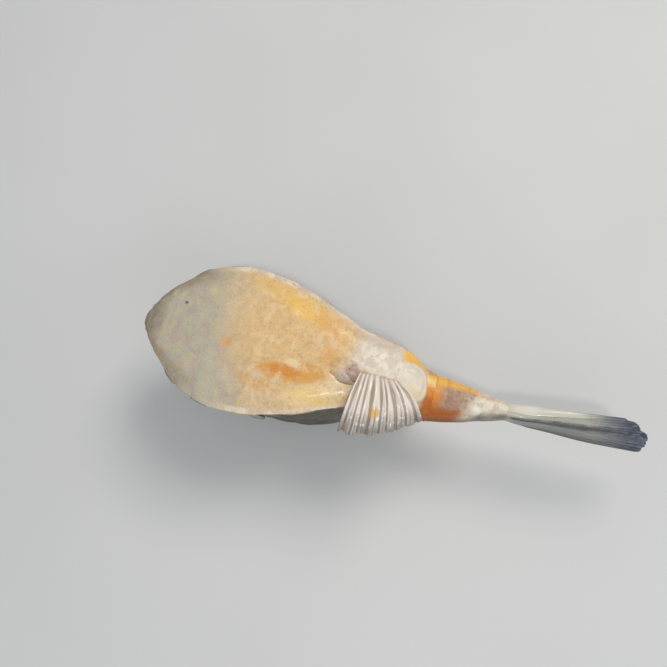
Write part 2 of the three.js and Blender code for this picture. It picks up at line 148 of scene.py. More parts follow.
def sectionAt(s):
    u = s / fish["carapaceLength"]
    crest = crestDepth(u) * fish["bodyDepth"]
    ridge = ridgeDepth(u) * fish["bodyDepth"]
    return {
        "ridgeHalf": ridgeWidth(u) * fish["bellyHalfWidth"],
        "shoulderHalf": shoulderWidth(u) * fish["bellyHalfWidth"],
        "ridge": ridge,
        "crest": crest,
        "shoulder": lerp(ridge, crest, shoulderShare),
        "crisp": smooth(u, 0.03, 0.16),
        "bulge": fish["bellyBulge"] * smooth(u, 0.02, 0.3),
        "oval": rearOval["share"] * smooth(s, rearOval["from"], fish["carapaceLength"]),
    }


def flankHalf(section, t):
    # the flank is hollowed below its rim
    pinch = plates["flankPinch"] * 2.6 * math.sqrt(t) * (1 - t) ** 1.5
    return lerp(section["ridgeHalf"], section["shoulderHalf"], t) - pinch * section["crisp"]


def boxPoint(section, plate):
    # half-width and depth of the boxy section at a plate count from the middle of the belly
    side = abs(plate)
    if side <= plates["ridge"]:
        t = side / plates["ridge"]
        rim = plates["rimRise"] * section["crisp"] * bump(t, 0.87, 0.13)
        return section["ridgeHalf"] * t, section["ridge"] - section["bulge"] * (1 - t**2.4) + rim
    if side <= plates["shoulder"]:
        t = (side - plates["ridge"]) / (plates["shoulder"] - plates["ridge"])
        return flankHalf(section, t), lerp(section["ridge"], section["shoulder"], t)
    turn = (side - plates["shoulder"]) / (plates["back"] - plates["shoulder"]) * math.pi / 2
    power = 2 / backSquareness
    half = section["shoulderHalf"] * max(math.cos(turn), 0) ** power
    return half, lerp(section["shoulder"], section["crest"], math.sin(turn) ** power)


def sectionPoint(section, plate):
    # the same for the skin, which is rounder where the tail stalk leaves it
    half, depth = boxPoint(section, plate)
    turn = abs(plate) / plates["back"] * math.pi
    ovalHalf = rearOval["halfWidth"] * math.sin(turn)
    ovalDepth = tailDepth - rearOval["halfHeight"] * math.cos(turn)
    return lerp(half, ovalHalf, section["oval"]), lerp(depth, ovalDepth, section["oval"])


def blunted(s):
    # the snout is tucked in towards the front of the belly
    return s + fish["snoutTuck"] * (1 - min(s / fish["tuckEnd"], 1)) ** 2


def placed(s, y, depth):
    # from the fish's own measures to the shared frame, still in millimetres
    return Vector((s + snoutX, y, fish["bodyDepth"] - fish["backFlat"] - depth))


def skinPoint(s, plate, section=None):
    half, depth = sectionPoint(section or sectionAt(s), plate)
    return placed(blunted(s), math.copysign(half, plate), depth)


def skinNormal(s, plate):
    along = skinPoint(s + 1, plate) - skinPoint(s - 1, plate)
    around = skinPoint(s, plate + 0.1) - skinPoint(s, plate - 0.1)
    return along.cross(around).normalized()


def swingAt(s):
    return fish["tailSwing"] * max(s - fish["carapaceCut"], 0) / (tailEnd - fish["carapaceCut"])


def tailPoint(s, across, up):
    # the tail also twists its upper edge towards +Y
    twist = math.radians(fish["tailTwist"]) * smooth(s, fish["carapaceCut"], tailEnd)
    side = swingAt(s) + across * math.cos(twist) + up * math.sin(twist)
    return placed(s, side, tailDepth - up * math.cos(twist) + across * math.sin(twist))


def plateRows():
    # stations of the seams between rows of plates, each row as long as its plates are wide
    stations = [2]
    while stations[-1] < fish["carapaceLength"]:
        at = sectionAt(stations[-1])
        girth = 2 * (at["ridgeHalf"] + at["shoulder"] - at["ridge"] + at["shoulderHalf"])
        girth += at["crest"] - at["shoulder"]
        stations.append(stations[-1] + max(plates["smallestRow"], 0.9 * girth / plates["around"]))
    stretch = (fish["carapaceLength"] + 4) / stations[-1]
    return [s * stretch for s in stations]


rowStations = plateRows()


def rowAt(s):
    # how many rows of plates lie ahead of a place, as a smooth count
    i = 0
    while i < len(rowStations) - 2 and rowStations[i + 1] < s:
        i += 1
    return i + (s - rowStations[i]) / (rowStations[i + 1] - rowStations[i])


def hexEdge(u, v):
    # distance to the nearest seam of a six-sided lattice, in plate widths
    gap = plates["rowGap"]
    best = None
    for shiftU, shiftV in ((0, 0), (0.5, gap)):
        x = (u - shiftU + 0.5) % 1 - 0.5
        y = (v - shiftV + gap) % (2 * gap) - gap
        if best is None or x * x + y * y < best[0] ** 2 + best[1] ** 2:
            best = (x, y)
    x, y = abs(best[0]), abs(best[1])
    return 0.5 - max(x, x / 2 + y * gap)


def spreadStations(start, end, count, crowding):
    # places from start to end, closer together where crowding is higher
    fine = 4000
    total = [0.0]
    for i in range(fine):
        total.append(total[-1] + crowding(lerp(start, end, (i + 0.5) / fine)))
    found = []
    i = 0
    for k in range(count):
        goal = total[-1] * k / (count - 1)
        while i < fine - 1 and total[i + 1] < goal:
            i += 1
        found.append(lerp(start, end, (i + (goal - total[i]) / (total[i + 1] - total[i])) / fine))
    return found


def finishPiece(name, bm, material, slotName, *nodes):
    mesh = bpy.data.meshes.new(name)
    bm.to_mesh(mesh)
    bm.free()
    mesh.shade_smooth()
    mesh.materials.append(material)
    piece = bpy.data.objects.new(name, mesh)
    bpy.context.scene.collection.objects.link(piece)
    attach(piece, "root")
    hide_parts(*nodes)
    print("made", name, "with", sum(len(p.vertices) - 2 for p in mesh.polygons), "triangles")
    return piece


# Shader maths as plain expressions
class Wire:
    def __init__(self, tree, socket=None):
        self.tree = tree
        self.socket = socket

    def node(self, kind, settings=None, inputs=None, output=0):
        made = self.tree.nodes.new("ShaderNode" + kind)
        for name, value in (settings or {}).items():
            if name == "stops":
                for i, (place, colour) in enumerate(value):
                    stop = made.color_ramp.elements[i] if i < 2 else made.color_ramp.elements.new(place)
                    stop.position = place
                    stop.color = colour
            else:
                setattr(made, name, value)
        for name, value in (inputs or {}).items():
            if isinstance(value, Wire):
                self.tree.links.new(value.socket, made.inputs[name])
            else:
                made.inputs[name].default_value = value
        return Wire(self.tree, made.outputs[output])

    def maths(self, operation, *values):
        return self.node("Math", {"operation": operation}, dict(enumerate(values)))

    def __add__(self, other):
        return self.maths("ADD", self, other)

    def __radd__(self, other):
        return self.maths("ADD", other, self)

    def __sub__(self, other):
        return self.maths("SUBTRACT", self, other)

    def __rsub__(self, other):
        return self.maths("SUBTRACT", other, self)

    def __mul__(self, other):
        return self.maths("MULTIPLY", self, other)

    def __rmul__(self, other):
        return self.maths("MULTIPLY", other, self)

    def __truediv__(self, other):
        return self.maths("DIVIDE", self, other)

    def __rtruediv__(self, other):
        return self.maths("DIVIDE", other, self)

    def __abs__(self):
        return self.maths("ABSOLUTE", self)

    def least(self, other):
        return self.maths("MINIMUM", self, other)

    def most(self, other):
        return self.maths("MAXIMUM", self, other)

    def ease(self, low, high, start=0.0, end=1.0):
        # a smooth step from start to end as this value goes from low to high
        places = {"Value": self, "From Min": low, "From Max": high, "To Min": start, "To Max": end}
        return self.node("MapRange", {"interpolation_type": "SMOOTHSTEP"}, places)

    def blend(self, first, second):
        # first where this mask is 0 and second where it is 1, as colours
        return self.node("Mix", {"data_type": "RGBA"}, {0: self, 6: first, 7: second}, 2)

    def stray(self, texture, much):
        # this value, pushed about by a texture that goes from 0 to 1
        return self + (texture - 0.5) * much

    def noise(self, size, detail=3.0, rough=0.55):
        # noise from 0 to 1 on these coordinates, with lumps about this many millimetres across
        values = {"Vector": self, "Scale": 1 / (size * mm), "Detail": detail, "Roughness": rough}
        return self.node("TexNoise", {"noise_dimensions": "3D"}, values)

    def cells(self, size):
        # distance to the nearest of many scattered points about this many millimetres apart
        return self.node("TexVoronoi", {"feature": "F1"}, {"Vector": self, "Scale": 1 / (size * mm)})

    def axis(self, index):
        return self.node("SeparateXYZ", None, {0: self}, index)


def tone(red, green, blue):
    # a screen colour as Blender's own linear colour
    linear = [((c / 255 + 0.055) / 1.055) ** 2.4 if c > 10 else c / 255 / 12.92 for c in (red, green, blue)]
    return (*linear, 1.0)


def newMaterial(name):
    material = bpy.data.materials.new(name)
    material.use_nodes = True
    tree = material.node_tree
    tree.nodes.clear()
    start = Wire(tree)
    return material, start


def finishMaterial(start, surface):
    output = start.tree.nodes.new("ShaderNodeOutputMaterial")
    start.tree.links.new(surface.socket, output.inputs["Surface"])


def attributeOf(start, name):
    return start.node("Attribute", {"attribute_name": name}, None, 2)


def objectPlace(start):
    return start.node("TexCoord", None, None, 3)


def bumpFrom(start, height, depth, strength):
    return start.node("Bump", None, {"Height": height, "Distance": depth * mm, "Strength": strength})


# The skin: one closed surface from the lips to the root of the tail fin
skin = {
    "around": 400,
    "capRows": 26,
    "carapaceRows": 178,
    "lipRows": 7,
    "stalkRows": 34,
    "capStart": 2.5,
    "capReach": 3,
    "seamWidth": 0.055,
    "seamDepth": 0.42,
    "plateDome": 0.45,
    "bellyPlates": 0.16,
    "rimScallop": 0.5,
    "rimKnobs": 0.45,
    "swells": 0.55,
    "grain": 0.13,
    "plateWarp": 0.09,
    "warpSize": 17,
    "stalkOverlap": 9,
    "rearTuck": 1.6,
    "stalkFlare": 0.018,
}
lips = {
    "out": 2.3,
    "apart": 3.0,
    "thick": 2.0,
    "halfWidth": 8.2,
    "lineDepth": 3.4,
    "lineWidth": 0.6,
    "lineReach": 6.2,
    "wrinkle": 0.12,
}
eye = {
    "s": 46,
    "plate": 6.05,
    "radius": 11.5,
    "sunk": 7.6,
    "rimRadius": 10.2,
    "ring": 1.35,
    "brow": 0.9,
    "bed": 6.5,
}
nostril = {"s": 29, "plate": 5.6, "radius": 1.25, "rim": 0.9, "depth": 2.2}
gill = {"s": 60, "plate": 3.6, "halfLength": 11, "width": 1.0, "depth": 2.4, "flap": 0.9, "rearEdge": 0.6}
vent = {
    "s": 164,
    "side": -4.2,
    "long": 11.5,
    "wide": 9,
    "turn": -14,
    "rise": 2.6,
    "lobes": 9,
    "crease": 1.7,
}
shield = {"s": 212.5, "side": 1.5, "long": 12.5, "wide": 15, "turn": 12, "rise": 1.1}
knob = {"s": 266, "plate": -1.6, "long": 3.8, "wide": 0.85, "rise": 1.7}
maskNames = ("mouth", "lip", "orbit", "vent", "ventEdge", "slit", "shield", "knob")

mouthDepth = (sectionPoint(sectionAt(2), 0)[1] + sectionPoint(sectionAt(2), plates["back"])[1]) / 2


def stalkPoint(s, plate, narrow=1.0):
    u = clamp((s - fish["carapaceCut"]) / fish["stalkLength"])
    turn = plate / plates["back"] * math.pi
    flare = 1 + skin["stalkFlare"] * (1 - smooth(s, 230, 246))
    upright = stalkHalfHeight(u) * flare * lerp(0.35, 1, narrow)
    return tailPoint(s, stalkHalfWidth(u) * flare * narrow * math.sin(turn), upright * math.cos(turn))


def tucked(point, s):
    # the carapace's rear edge rounds in over its last few millimetres
    middle = tailPoint(s, 0, 0)
    away = Vector((0, point.y - middle.y, point.z - middle.z))
    return point - away.normalized() * skin["rearTuck"] * smooth(s, 224, fish["carapaceLength"]) ** 2


def skinRows():
    # each row is a function of the plate count that gives a point, with its place s and what it belongs to
    rows = []
    capSection = sectionAt(skin["capStart"])
    mouthCentre = placed(blunted(skin["capStart"]), 0, mouthDepth)

    def capRow(share):
        def pointAt(plate):
            edge = skinPoint(skin["capStart"], plate, capSection)
            point = mouthCentre.lerp(edge, math.sin(share * math.pi / 2))
            point.x -= skin["capReach"] * math.cos(share * math.pi / 2)
            return point
        return pointAt

    for i in range(skin["capRows"]):
        share = (i + 0.25) / skin["capRows"]
        rows.append((capRow(share), skin["capStart"] * share, "cap"))

    def carapaceRow(s):
        section = sectionAt(s)
        return lambda plate: tucked(skinPoint(s, plate, section), s)

    crowding = lambda s: 1.75 if s < 72 else 1.0
    for s in spreadStations(skin["capStart"], fish["carapaceLength"], skin["carapaceRows"], crowding):
        rows.append((carapaceRow(s), s, "carapace"))

    def lipRow(share):
        # the carapace's rear edge, rolled in to meet the stalk
        outer = sectionAt(fish["carapaceLength"])
        roll = math.sin(share * math.pi / 2)
        s = fish["carapaceLength"] + 0.9 * math.sin(share * math.pi) - 0.9 * share**2

        def pointAt(plate):
            edge = tucked(skinPoint(fish["carapaceLength"], plate, outer), fish["carapaceLength"])
            point = edge.lerp(stalkPoint(fish["carapaceLength"] - 0.9, plate), roll)
            point.x = placed(s, 0, 0).x
            return point
        return pointAt

    for i in range(1, skin["lipRows"] + 1):
        rows.append((lipRow(i / skin["lipRows"]), fish["carapaceLength"], "edge"))

    def stalkRow(s, narrow):
        return lambda plate: stalkPoint(s, plate, narrow)

    first = fish["carapaceLength"] - 0.4
    for i in range(skin["stalkRows"]):
        share = i / (skin["stalkRows"] - 1)
        s = lerp(first, finBase + skin["stalkOverlap"], share)
        narrow = math.sqrt(max(1 - smooth(s, finBase - 3, finBase + skin["stalkOverlap"] + 0.4) ** 2, 0.02))
        rows.append((stalkRow(s, narrow), s, "stalk"))
    return rows


def warpAt(point):
    # how far the plates' corners stray from an even lattice
    place = point / skin["warpSize"]
    return noise.noise(place), noise.noise(place + Vector((31.7, 11.3, 5.9)))


def seatFrame(s, plate):
    # a seat on the skin: its point and its outward direction
    return skinPoint(s, plate), skinNormal(s, plate)


def distanceOver(point, seat, out):
    # how far a point is from a seat, measured along the skin
    away = point - seat
    return (away - out * away.dot(out)).length


def localTo(feature, s, y):
    # a place on the belly in a feature's own turned axes, as shares of its half length and half width
    turn = math.radians(feature["turn"])
    ahead, aside = s - feature["s"], y - feature["side"]
    along = ahead * math.cos(turn) + aside * math.sin(turn)
    return along / feature["long"], (aside * math.cos(turn) - ahead * math.sin(turn)) / feature["wide"]


eyeSeats = [seatFrame(eye["s"], side * eye["plate"]) for side in (-1, 1)]
nostrilSeats = [seatFrame(nostril["s"], side * nostril["plate"]) for side in (-1, 1)]


def plateRelief(point, s, side, edge):
    # plates, stronger on the flanks and back than on the belly, and the knobby rims
    strength = lerp(1.0, skin["bellyPlates"], 1 - smooth(side, 2.3, 2.7)) * smooth(s, 5, 24)
    groove = math.exp(-((edge / skin["seamWidth"]) ** 2))
    dome = 1 - (1 - 2 * min(edge, 0.5)) ** 2.2
    high = strength * (skin["plateDome"] * dome - skin["seamDepth"] * groove)
    high += skin["rimScallop"] * smooth(s, 20, 50) * bump(side, plates["ridge"], 0.22) * (2 * dome - 1)
    high += skin["rimKnobs"] * noise.noise(point / 3.4) * smooth(s, 40, 80) * bump(side, 2.42, 0.16)
    return high + skin["swells"] * noise.noise(point / 26) * smooth(s, 10, 40)


def mouthRelief(point, s, masks):
    # the mouth, with a lip on either side of its line
    y = point.y
    up = (fish["bodyDepth"] - fish["backFlat"] - point.z) - mouthDepth
    line = up + 0.3 - 0.018 * y * y
    across = math.sqrt(clamp(1 - (y / lips["halfWidth"]) ** 2))
    front = 1 - smooth(s, 2.2, 5)
    swell = across * bump(abs(line), lips["apart"], lips["thick"]) * front
    inLine = 1 - smooth(abs(y), lips["lineReach"], lips["lineReach"] + 1.3)
    cut = bump(line, 0, lips["lineWidth"]) * inLine * front
    masks["mouth"] = clamp(cut * 1.3)
    masks["lip"] = clamp(swell * 1.2)
    wrinkle = lips["wrinkle"] * math.sin(y * 2.6) * swell
    return lips["out"] * swell + wrinkle - lips["lineDepth"] * cut - 0.5 * bump(s, 5.2, 1.3)


def orbitRelief(point, plate, high, masks):
    # a fleshy ring and a brow, with the skin sunk below the eyeball inside them
    r = distanceOver(point, *eyeSeats[1 if plate > 0 else 0])
    brow = bump(r, 14.5, 3.2) * smooth(abs(plate), 5.2, 7.4)
    high += eye["ring"] * bump(r, eye["rimRadius"], 1.5) + eye["brow"] * brow - 0.5 * bump(r, 12.6, 0.9)
    high -= eye["bed"] * (1 - smooth(r, 7.2, 9.0))
    if r < 9.5:
        high = min(high, lerp(-eye["bed"], high, smooth(r, 7.2, 9.3)))
    masks["orbit"] = 1 - smooth(r, 8.6, 12.2)
    return high


def nostrilRelief(point, plate, masks):
    r = distanceOver(point, *nostrilSeats[1 if plate > 0 else 0])
    masks["slit"] = bump(r, 0, 1.2)
    return nostril["rim"] * bump(r, 2.5, 0.9) - nostril["depth"] * bump(r, 0, nostril["radius"])


def gillRelief(s, side, masks):
    # a short upright groove with a soft flap ahead of it
    upright = (side - gill["plate"]) * 21
    lean = s - gill["s"] - 0.16 * upright - 0.012 * upright * upright
    inSlit = 1 - smooth(abs(upright), gill["halfLength"] - 2.5, gill["halfLength"])
    cut = bump(lean, 0, gill["width"]) * inSlit
    masks["slit"] = max(masks["slit"], cut)
    edges = gill["flap"] * bump(lean, -2.6, 1.8) + gill["rearEdge"] * bump(lean, 2.4, 1.4)
    return edges * inSlit - gill["depth"] * cut


def ventRelief(point, s, masks):
    # a soft sac with a lobed rim, creased round its opening
    x, y = localTo(vent, s, point.y)
    turn = math.atan2(y, x)
    r = math.hypot(x, y) * (1 + 0.05 * math.sin(vent["lobes"] * turn) + 0.1 * noise.noise(point / 5))
    lower = smooth(x * 0.45 - y, -0.5, 0.7)
    edge = bump(r, 1.06, 0.085)
    upper = bump(x, 0.06 + 0.14 * math.sin(3.2 * y), 0.07) * smooth(y, -0.4, -0.1)
    upper *= 1 - smooth(y, 0.55, 0.85)
    nearer = bump(y, -0.2 - 0.5 * x, 0.08) * smooth(x, 0.0, 0.2) * (1 - smooth(x, 0.7, 0.95))
    crease = max(upper, nearer)
    masks["vent"] = (1 - smooth(r, 0.8, 1.08)) * lerp(0.12, 1, smooth(x - 0.3 * y, -0.55, 0.25))
    masks["ventEdge"] = max(edge * lower, 0.9 * crease)
    high = vent["rise"] * math.exp(-((r / 0.9) ** 4)) * (1 - 0.3 * math.exp(-((r / 0.45) ** 2)))
    high += 0.4 * math.sin(vent["lobes"] * turn + 5 * r) * bump(r, 0.66, 0.26)
    return high - (0.4 + 1.1 * lower) * edge - vent["crease"] * crease


def shieldRelief(point, s, masks):
    # the pale shield at the end of the belly, with a rolled rear edge
    x, y = localTo(shield, s, point.y)
    r = (abs(x) ** 2.4 + abs(y) ** 2.4) ** (1 / 2.4) + 0.07 * noise.noise(point / 7)
    masks["shield"] = r
    behind = smooth(x - 0.3 * y, -0.4, 0.5)
    high = shield["rise"] * (1 - smooth(r, 0.8, 1.02)) * lerp(0.4, 1, behind)
    high -= (0.1 + 0.7 * behind) * bump(r, 1.08, 0.08)
    high -= 0.45 * bump(r, 0.7, 0.07) * smooth(x + y, -0.1, 0.6)
    return high + 0.3 * bump(y, 0.35 + 0.12 * math.sin(5 * x), 0.16) * (1 - smooth(r, 0.6, 0.9))


def stalkRelief(s, plate, high, masks):
    # loose skin round the stalk, and the knob where the tail fin's first rays begin
    high += 0.35 * noise.noise(Vector((s / 3.2, plate * 1.4, 2.7)))
    high += 0.5 * noise.noise(Vector((s / 11, plate * 0.8, 9.1)))
    masks["knob"] = bump(s, knob["s"], knob["long"]) * bump(plate, knob["plate"], knob["wide"])
    return high * smooth(s, 231, 238) + knob["rise"] * masks["knob"]


def reliefAt(point, s, plate, kind, edge):
    # height of the skin above the smooth body, and the masks of its features
    side = abs(plate)
    masks = {name: 0.0 for name in maskNames}
    masks["shield"] = 3.0
    high = plateRelief(point, s, side, edge) if kind == "carapace" else 0.0
    high += skin["grain"] * noise.noise(point / 5.5) * smooth(s, 2, 20)
    if s < 9:
        high += mouthRelief(point, s, masks)
    if 28 < s < 64 and side > 3:
        high = orbitRelief(point, plate, high, masks)
    if 18 < s < 40 and side > 3:
        high += nostrilRelief(point, plate, masks)
    if 50 < s < 72 and 2.6 < side < 4.8:
        high += gillRelief(s, side, masks)
    if abs(s - vent["s"]) < 22 and side < 1.8:
        high += ventRelief(point, s, masks)
    if s > 170 and side < 2.6 and kind != "stalk":
        high += shieldRelief(point, s, masks)
    if kind == "stalk":
        high = stalkRelief(s, plate, high, masks)
    return high, masks


def addSkin(material):
    rows = skinRows()
    crowd = lambda plate: 1 + 0.9 * bump(abs(plate), plates["ridge"], 0.4)
    columns = spreadStations(-plates["back"], plates["back"], skin["around"] + 1, crowd)[:-1]
    bm = bmesh.new()
    bmesh.ops.create_cone(
        bm, cap_ends=True, cap_tris=True, segments=skin["around"], radius1=1, radius2=1, depth=1)
    lengthwise = [e for e in bm.edges if abs(e.verts[0].co.z - e.verts[1].co.z) > 0.5]
    bmesh.ops.subdivide_edges(bm, edges=lengthwise, cuts=len(rows) - 2, use_grid_fill=True)

    layerNames = ("around", "onStalk", "stalkSide", *maskNames)
    layers = {name: bm.verts.layers.float.new(name) for name in layerNames}
    facts = {}
    for vert in bm.verts:
        rowIndex = round((vert.co.z + 0.5) * (len(rows) - 1))
        pointAt, s, kind = rows[rowIndex]
        if vert.co.xy.length < 0.5:
            # the two poles take the middle of their row
            ring = [pointAt(columns[k]) for k in range(0, skin["around"], 40)]
            vert.co = sum(ring, Vector()) / len(ring)
            plate = 0.0
        else:
            turn = math.atan2(vert.co.y, vert.co.x) / (2 * math.pi)
            plate = columns[round(turn * skin["around"]) % skin["around"]]
            vert.co = pointAt(plate)
        facts[vert] = (s, plate, kind)
    bmesh.ops.recalc_face_normals(bm, faces=bm.faces[:])
    if bm.calc_volume(signed=True) < 0:
        bmesh.ops.reverse_faces(bm, faces=bm.faces[:])
    bm.normal_update()

    moves = {}
    for vert, (s, plate, kind) in facts.items():
        warpU, warpV = warpAt(vert.co)
        fade = smooth(s, 4, 30)
        u = plate + skin["plateWarp"] * warpU * fade
        v = plates["rowGap"] * (rowAt(s) - 0.5) + skin["plateWarp"] * warpV * fade
        high, masks = reliefAt(vert.co, s, plate, kind, hexEdge(u, v))
        moves[vert] = (vert.co + vert.normal * high) * mm
        facts[vert] = (u, v, plate)
        vert[layers["around"]] = abs(plate)
        vert[layers["onStalk"]] = 1.0 if kind == "stalk" else 0.0
        vert[layers["stalkSide"]] = math.sin(plate / plates["back"] * math.pi)
        for name, value in masks.items():
            vert[layers[name]] = value
    for vert, co in moves.items():
        vert.co = co
        vert.co.z = max(vert.co.z, 0.0)

    uvLayer = bm.loops.layers.uv.new("Plates")
    for face in bm.faces:
        wraps = max(facts[v][2] for v in face.verts) - min(facts[v][2] for v in face.verts) > 9
        for loop in face.loops:
            u, v, plate = facts[loop.vert]
            loop[uvLayer].uv = (u + (plates["around"] if wraps and plate < 0 else 0), v)
    covered = ("head", "carapace_middle", "carapace_rear", "tail_stalk")
    return finishPiece("skin", bm, material, "carapace_skin", *covered)


# Colours of the skin, as screen colours
skinTones = {
    "headGrey": tone(189, 181, 164),
    "headGreen": tone(194, 185, 150),
    "headPink": tone(191, 172, 156),
    "headEdge": tone(132, 112, 92),
    "tanShade": tone(196, 158, 110),
    "tan": tone(206, 176, 136),
    "pink": tone(228, 194, 150),
    "gold": tone(236, 190, 112),
    "warm": tone(226, 160, 70),
    "deep": tone(220, 142, 42),
    "pale": tone(242, 218, 172),
    "yellow": tone(246, 192, 84),
    "yellowPale": tone(248, 212, 136),
    "rearCream": tone(234, 222, 200),
    # pinkish specks near the far rim of the rear belly, also used as painted shade on the shield's rolled
    # edge and inner crease
    "rearSpeckAndShade": tone(204, 182, 162),
    "rearBrown": tone(204, 152, 104),
    "shield": tone(244, 234, 216),
    "shieldYellow": tone(246, 226, 182),
    "rearShade": tone(218, 200, 180),
    "rim": tone(234, 218, 190),
    "rimPink": tone(214, 190, 164),
    "speck": tone(100, 86, 68),
    "flank": tone(134, 126, 108),
    "flankPurple": tone(118, 104, 95),
    "flankOlive": tone(112, 105, 82),
    # painted shade for the flank just under the rim and over the rear flanks
    "paintedFlankShade": tone(42, 37, 29),
    "back": tone(46, 39, 36),
    "seamDark": tone(82, 73, 60),
    "seamOrange": tone(180, 118, 70),
    "lip": tone(150, 118, 96),
    # painted shade for the mouth's line and the slits
    "paintedSlitShade": tone(22, 14, 12),
    "orbit": tone(108, 104, 84),
    "ventLilac": tone(186, 174, 176),
    "ventMauve": tone(164, 124, 118),
    "ventLine": tone(96, 62, 56),
    "stalkGold": tone(246, 188, 82),
    "stalkOrange": tone(226, 138, 34),
    "stalkDeep": tone(190, 100, 14),
    # painted shade on the stalk's -Y side
    "stalkPaintedShade": tone(116, 62, 26),
    "stalkPurple": tone(138, 112, 100),
    "stalkMauve": tone(186, 160, 140),
    "stalkBeige": tone(214, 196, 174),
    "stalkPeach": tone(226, 178, 146),
    "stalkGrey": tone(104, 96, 88),
}


def patchAt(s, side, long, wide, turn, name, much):
    # a patch on the belly: place behind the snout and towards +Y, half sizes, turn in degrees and strength
    return {"s": s, "side": side, "long": long, "wide": wide, "turn": turn, "tone": name, "much": much}


patches = [
    patchAt(120, 6, 58, 46, -10, "gold", 0.5),
    patchAt(118, 36, 52, 13, -19, "gold", 0.85),
    patchAt(122, 34, 19, 8, -20, "yellow", 0.75),
    patchAt(144, 25, 18, 8, -34, "warm", 0.45),
    patchAt(126, -16, 30, 8.5, 8, "warm", 1.0),
    patchAt(118, -16.5, 18, 5, 5, "deep", 0.9),
    patchAt(149, 2, 8, 14, 8, "warm", 0.55),
    patchAt(104, -31, 18, 7, -10, "warm", 0.5),
    patchAt(88, -22, 10, 6, 30, "tan", 0.6),
    patchAt(113, -37, 14, 5, -6, "pink", 0.6),
    patchAt(143, -30, 24, 8.5, 16, "yellowPale", 0.85),
    patchAt(159, -18, 13, 9, 30, "pale", 0.7),
    patchAt(125, -9.5, 6.5, 3.8, 0, "pale", 0.8),
    patchAt(101, -25, 6, 4, 10, "rimPink", 0.7),
    patchAt(73, -7, 6.2, 3.8, 0, "warm", 0.65),
    patchAt(33.8, 15.4, 1.8, 1.4, 0, "speck", 0.95),
]


def painted(colour, coats):
    # coats laid one over another, each a mask and a colour or the name of one of the skin's tones
    for mask, coat in coats:
        colour = mask.blend(colour, coat if isinstance(coat, Wire) else skinTones[coat])
    return colour


def twoTone(mask, first, second):
    return mask.blend(skinTones[first], skinTones[second])


def hexEdgeWires(start):
    # the same lattice as hexEdge, for the shader
    gap = plates["rowGap"]
    plane = start.node("UVMap", {"uv_map": "Plates"})
    u, v = plane.axis(0), plane.axis(1)
    found = []
    for shiftU, shiftV in ((0, 0), (0.5, gap)):
        x = abs(start.maths("FLOORED_MODULO", u - (shiftU - 0.5), 1.0) - 0.5)
        y = abs(start.maths("FLOORED_MODULO", v - (shiftV - gap), 2 * gap) - gap)
        found.append(0.5 - x.most(x * 0.5 + y * gap))
    return found[0].most(found[1])


def patchMask(patch, s, y, ragged):
    along, across = localTo(patch, s, y)
    return (along * along + across * across + ragged).ease(1.3, 0.05) * patch["much"]


def bellyColour(start, s, y, around, seam, patchy, fine):
    # grey, greenish and pinkish at the head end, then tan and gold, then cream
    place = objectPlace(start)
    mottle = place.noise(5.2, 3, 0.6)
    blotch = place.noise(8.5, 2, 0.5)
    edge = around.stray(mottle, 0.6).ease(1.5, 2.5) * s.ease(74, 36)
    front = s.stray(mottle, 16).ease(26, 2)
    head = painted(twoTone(mottle.ease(0.42, 0.6), "headGrey", "headGreen"), [
        (blotch.ease(0.52, 0.4) * 0.85, "headPink"),
        (edge.most(front) * 0.75, "headEdge"),
    ])
    middle = twoTone(mottle.ease(0.36, 0.64), "tan", "pink")
    colour = (s + y * 0.32).stray(patchy, 46).ease(58, 94).blend(head, middle)
    ragged = (patchy - 0.5) * 1.2 + (mottle - 0.5) + (fine - 0.5) * 0.3
    colour = painted(colour, [(patchMask(patch, s, y, ragged), patch["tone"]) for patch in patches])

    # blotches behind the head, the cream rear, and seams and plates that show faintly through
    blotted = s.ease(66, 96) * 0.4
    rear = twoTone((mottle * 0.6 + blotch * 0.4).ease(0.42, 0.58), "rearShade", "rearCream")
    rear = painted(rear, [(y.stray(mottle, 14).ease(17, 25) * 0.7, "rearSpeckAndShade")])
    return painted(colour, [
        (blotch.ease(0.53, 0.66) * blotted, "pale"),
        (place.noise(4.2, 3, 0.65).ease(0.46, 0.32) * blotted, "tanShade"),
        ((s + y * 0.2).stray(patchy, 22).ease(160, 180), rear),
        (seam.ease(0.12, 0.42) * patchy.ease(0.45, 0.62) * 0.16, "pale"),
        (seam.ease(0.09, 0.01) * patchy.ease(0.6, 0.4) * s.ease(30, 60, 0.3, 1.0) * 0.1, "speck"),
    ])


def rearColour(start, colour, s, y, patchy, fine):
    # gold, orange and brown behind the shield and beside it, and painted shade on the shield's rolled edge
    # and in its inner crease
    r = attributeOf(start, "shield")
    ragged = y.stray(patchy, 9).stray(fine, 3)
    warmth = painted(twoTone(ragged.ease(-8, -1), "stalkDeep", "stalkOrange"), [
        (ragged.ease(0, 6), "yellowPale"),
        (ragged.ease(9, 13), "stalkGold"),
        (ragged.ease(11, 16) * s.ease(218, 224), "rearBrown"),
    ])
    plain = y.stray(fine, 8).ease(3, -5) * s.stray(fine, 6).ease(207, 214)
    mottled = twoTone(objectPlace(start).noise(5, 3).ease(0.4, 0.62), "rearCream", "shield")
    mottled = painted(mottled, [(plain * 0.85, "shieldYellow")])

    behind = (s - y * 0.3).stray(patchy, 8).ease(204, 214)
    onShield = r.stray(fine, 0.12).ease(1.06, behind * 0.34 + 0.6)
    outer = abs(y - 1.0).ease(11, 16) * s.stray(fine, 5).ease(199, 206)
    outer = outer.most(s.stray(fine, 3).ease(220, 226))
    # painted shade in the shield's inner crease and on its rolled rear edge, in the rear's speck tone
    inner = r.stray(fine, 0.05).ease(0.58, 0.68) * r.ease(0.84, 0.74) * (s + y * 0.6).ease(206, 218)
    rolled = r.ease(0.9, 1.0) * r.stray(fine, 0.05).ease(1.12, 1.04) * behind
    return painted(colour, [
        (outer * (1 - onShield), warmth),
        (onShield * 0.7, mottled),
        (rolled.most(inner * 0.5) * 0.6, "rearSpeckAndShade"),
    ])


